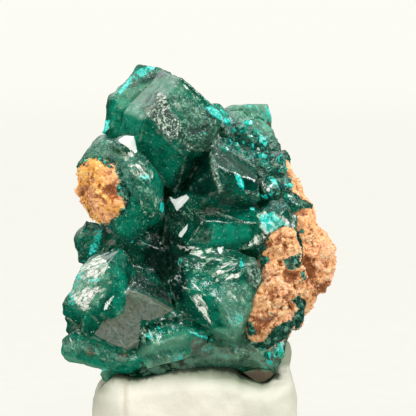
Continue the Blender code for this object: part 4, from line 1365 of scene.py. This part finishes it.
def build_matrix(look):
    """The three masses of matrix and their loose grains."""
    voxel = look.voxel * 1.0
    # The last number is a painted glow: how brightly each crust gives off its own colour
    plain = matrix_material("matrix", look, look.hollow, look.tan, look.crest, 0.13)
    front = matrix_material("matrix_front", look, look.hollow, look.front_tan, look.crest, 0.09)
    golden = matrix_material("matrix_gold", look, look.hollow, look.gold, look.gold_crest, 0.15)
    crusts = [
        build_crust("crust_back", "matrix_back", look, plain, voxel * 1.2, 0.75, (1.0, 0.1, 0.2),
                    (), BACK_GREEN, BACK_HOLLOW),
        build_crust("crust_front", "matrix_front", look, front, voxel, 1.0, (0.4, -0.9, 0.0),
                    FRONT_PATCH, FRONT_GREEN, FRONT_HOLLOW),
        build_crust("crust_left", "matrix_left", look, golden, voxel, 0.85, (-0.75, -0.65, 0.0),
                    LEFT_PATCH, LEFT_GREEN, LEFT_HOLLOW),
    ]
    piece = small_grain()
    for seed, crust in enumerate(crusts, 20):
        scattered(crust.name + "_grains", crust, smooth_step(0.2, 0.7, stored(crust, "height")),
                  crust.data.materials[0], "matrix", Piece=piece, Spacing=0.24 * MM, Smallest=0.10,
                  Largest=0.24, Seed=seed)
    bpy.data.objects.remove(piece, do_unlink=True)


# Stage


def area_light(name, azimuth, elevation, size, radiance, tint):
    """A square panel that shines on the specimen from a direction."""
    lamp = bpy.data.lights.new(name, "AREA")
    lamp.size = size
    lamp.energy = radiance * math.pi * size ** 2
    lamp.color = tint
    item = new_object(name, lamp)
    turn = math.radians(azimuth)
    lift = math.radians(elevation)
    back = Vector((math.sin(turn) * math.cos(lift), -math.cos(turn) * math.cos(lift), math.sin(lift)))
    item.location = Vector((0, 0, 20 * MM)) + back * PANEL_DISTANCE
    item.rotation_mode = "QUATERNION"
    item.rotation_quaternion = back.to_track_quat("Z", "Y")
    item.visible_camera = False


def build_world(look):
    world = bpy.data.worlds.new("studio")
    world.use_nodes = True
    tree = world.node_tree
    tree.nodes.clear()
    direction = out(node(tree, "ShaderNodeTexCoord"), "Generated")
    _, behind, height = (Wire(part) for part in node(tree, "ShaderNodeSeparateXYZ", {0: direction}).outputs)
    mirrored = (behind + height * 0.6).ramp(-0.1, 0.9) * look.reflection * height.ramp(-0.02, 0.22) + 0.02
    paths = node(tree, "ShaderNodeLightPath")
    soft = node(tree, "ShaderNodeMix", {0: out(paths, "Is Glossy Ray"), 2: look.fill, 3: mirrored})
    strength = node(tree, "ShaderNodeMix", {0: out(paths, "Is Camera Ray"), 2: out(soft), 3: 1.0})
    background = node(tree, "ShaderNodeBackground", {"Color": look.backdrop, "Strength": out(strength)})
    node(tree, "ShaderNodeOutputWorld", {"Surface": out(background)})
    bpy.context.scene.world = world


def build_floor(look):
    bm = bmesh.new()
    bmesh.ops.create_circle(bm, cap_ends=True, segments=96, radius=4.0)
    floor = object_from_bmesh("floor", bm)
    card = Surface("floor_card")
    paper = card.grain(3.0, 4.0)
    distance = out(node(card.tree, "ShaderNodeVectorMath", {0: card.place}, operation="LENGTH"), "Value")
    near, far = (tuple(share * part for part in look.backdrop) for share in (0.86, 0.955))
    tone = blend(paper.ramp(0.3, 0.7), (0.06, 0.06, 0.055), (0.07, 0.07, 0.065))
    light = blend(distance.ramp(100.0, 1400.0), near, far)
    floor.data.materials.append(card.finish(Base_Color=tone, Emission_Color=light, Emission_Strength=1.0,
                                            Roughness=1.0, Specular_IOR_Level=0.0))
    floor.visible_glossy = False


def build_camera():
    camera = bpy.data.cameras.new("camera")
    camera.sensor_width = 36.0
    camera.lens = FOCAL_LENGTH / FRAME_SIZE * camera.sensor_width
    camera.clip_start = 0.01
    camera.clip_end = 20.0
    item = new_object("camera", camera)
    item.location = EYE
    item.rotation_euler = (math.pi / 2 - CAMERA_LIFT, 0.0, 0.0)
    bpy.context.scene.camera = item


# Operators


class DIOPTASE_OT_crystals(bpy.types.Operator):
    """Build the large crystals and their marked facets"""
    bl_idname = "dioptase.crystals"
    bl_label = "Crystals"

    def execute(self, context):
        build_crystals(context.scene.dioptase_crystal_look)
        return {"FINISHED"}


class DIOPTASE_OT_druse(bpy.types.Operator):
    """Scatter small crystals over the broken ground"""
    bl_idname = "dioptase.druse"
    bl_label = "Small crystals"

    def execute(self, context):
        build_druse(context.scene.dioptase_crystal_look)
        return {"FINISHED"}


class DIOPTASE_OT_matrix(bpy.types.Operator):
    """Build the three masses of matrix and their loose grains"""
    bl_idname = "dioptase.matrix"
    bl_label = "Matrix"

    def execute(self, context):
        build_matrix(context.scene.dioptase_matrix_look)
        return {"FINISHED"}


class DIOPTASE_OT_putty(bpy.types.Operator):
    """Build the putty pad with its crease, handling marks and painted shade"""
    bl_idname = "dioptase.putty"
    bl_label = "Putty pad"

    def execute(self, context):
        build_putty(context.scene.dioptase_putty_look)
        return {"FINISHED"}


class DIOPTASE_OT_stage(bpy.types.Operator):
    """Set the floor, the lights and the camera"""
    bl_idname = "dioptase.stage"
    bl_label = "Stage"

    def execute(self, context):
        look = context.scene.dioptase_stage_look
        build_world(look)
        build_floor(look)
        for panel in PANELS:
            area_light(*panel)
        build_camera()
        context.scene.view_settings.view_transform = "Standard"
        return {"FINISHED"}


class DIOPTASE_PT_panel(bpy.types.Panel):
    bl_label = "Dioptase specimen"
    bl_idname = "DIOPTASE_PT_panel"
    bl_space_type = "VIEW_3D"
    bl_region_type = "UI"
    bl_category = "Specimen"

    def draw(self, context):
        layout = self.layout
        for operator in OPERATORS:
            layout.operator(operator.bl_idname)
        for name in LOOKS:
            look = getattr(context.scene, name)
            for key in look.bl_rna.properties.keys():
                if key not in {"rna_type", "name"}:
                    layout.prop(look, key)


LOOKS = {
    "dioptase_crystal_look": CrystalLook,
    "dioptase_matrix_look": MatrixLook,
    "dioptase_putty_look": PuttyLook,
    "dioptase_stage_look": StageLook,
}
OPERATORS = (DIOPTASE_OT_crystals, DIOPTASE_OT_druse, DIOPTASE_OT_matrix, DIOPTASE_OT_putty,
             DIOPTASE_OT_stage)


def register():
    for item in (*LOOKS.values(), *OPERATORS, DIOPTASE_PT_panel):
        bpy.utils.register_class(item)
    for name, look in LOOKS.items():
        setattr(bpy.types.Scene, name, bpy.props.PointerProperty(type=look))


def unregister():
    for name in LOOKS:
        delattr(bpy.types.Scene, name)
    for item in (DIOPTASE_PT_panel, *reversed(OPERATORS), *reversed(LOOKS.values())):
        bpy.utils.unregister_class(item)


def main():
    register()
    bpy.ops.dioptase.crystals()
    bpy.ops.dioptase.druse()
    bpy.ops.dioptase.matrix()
    bpy.ops.dioptase.putty()
    bpy.ops.dioptase.stage()


if __name__ == "__main__":
    main()
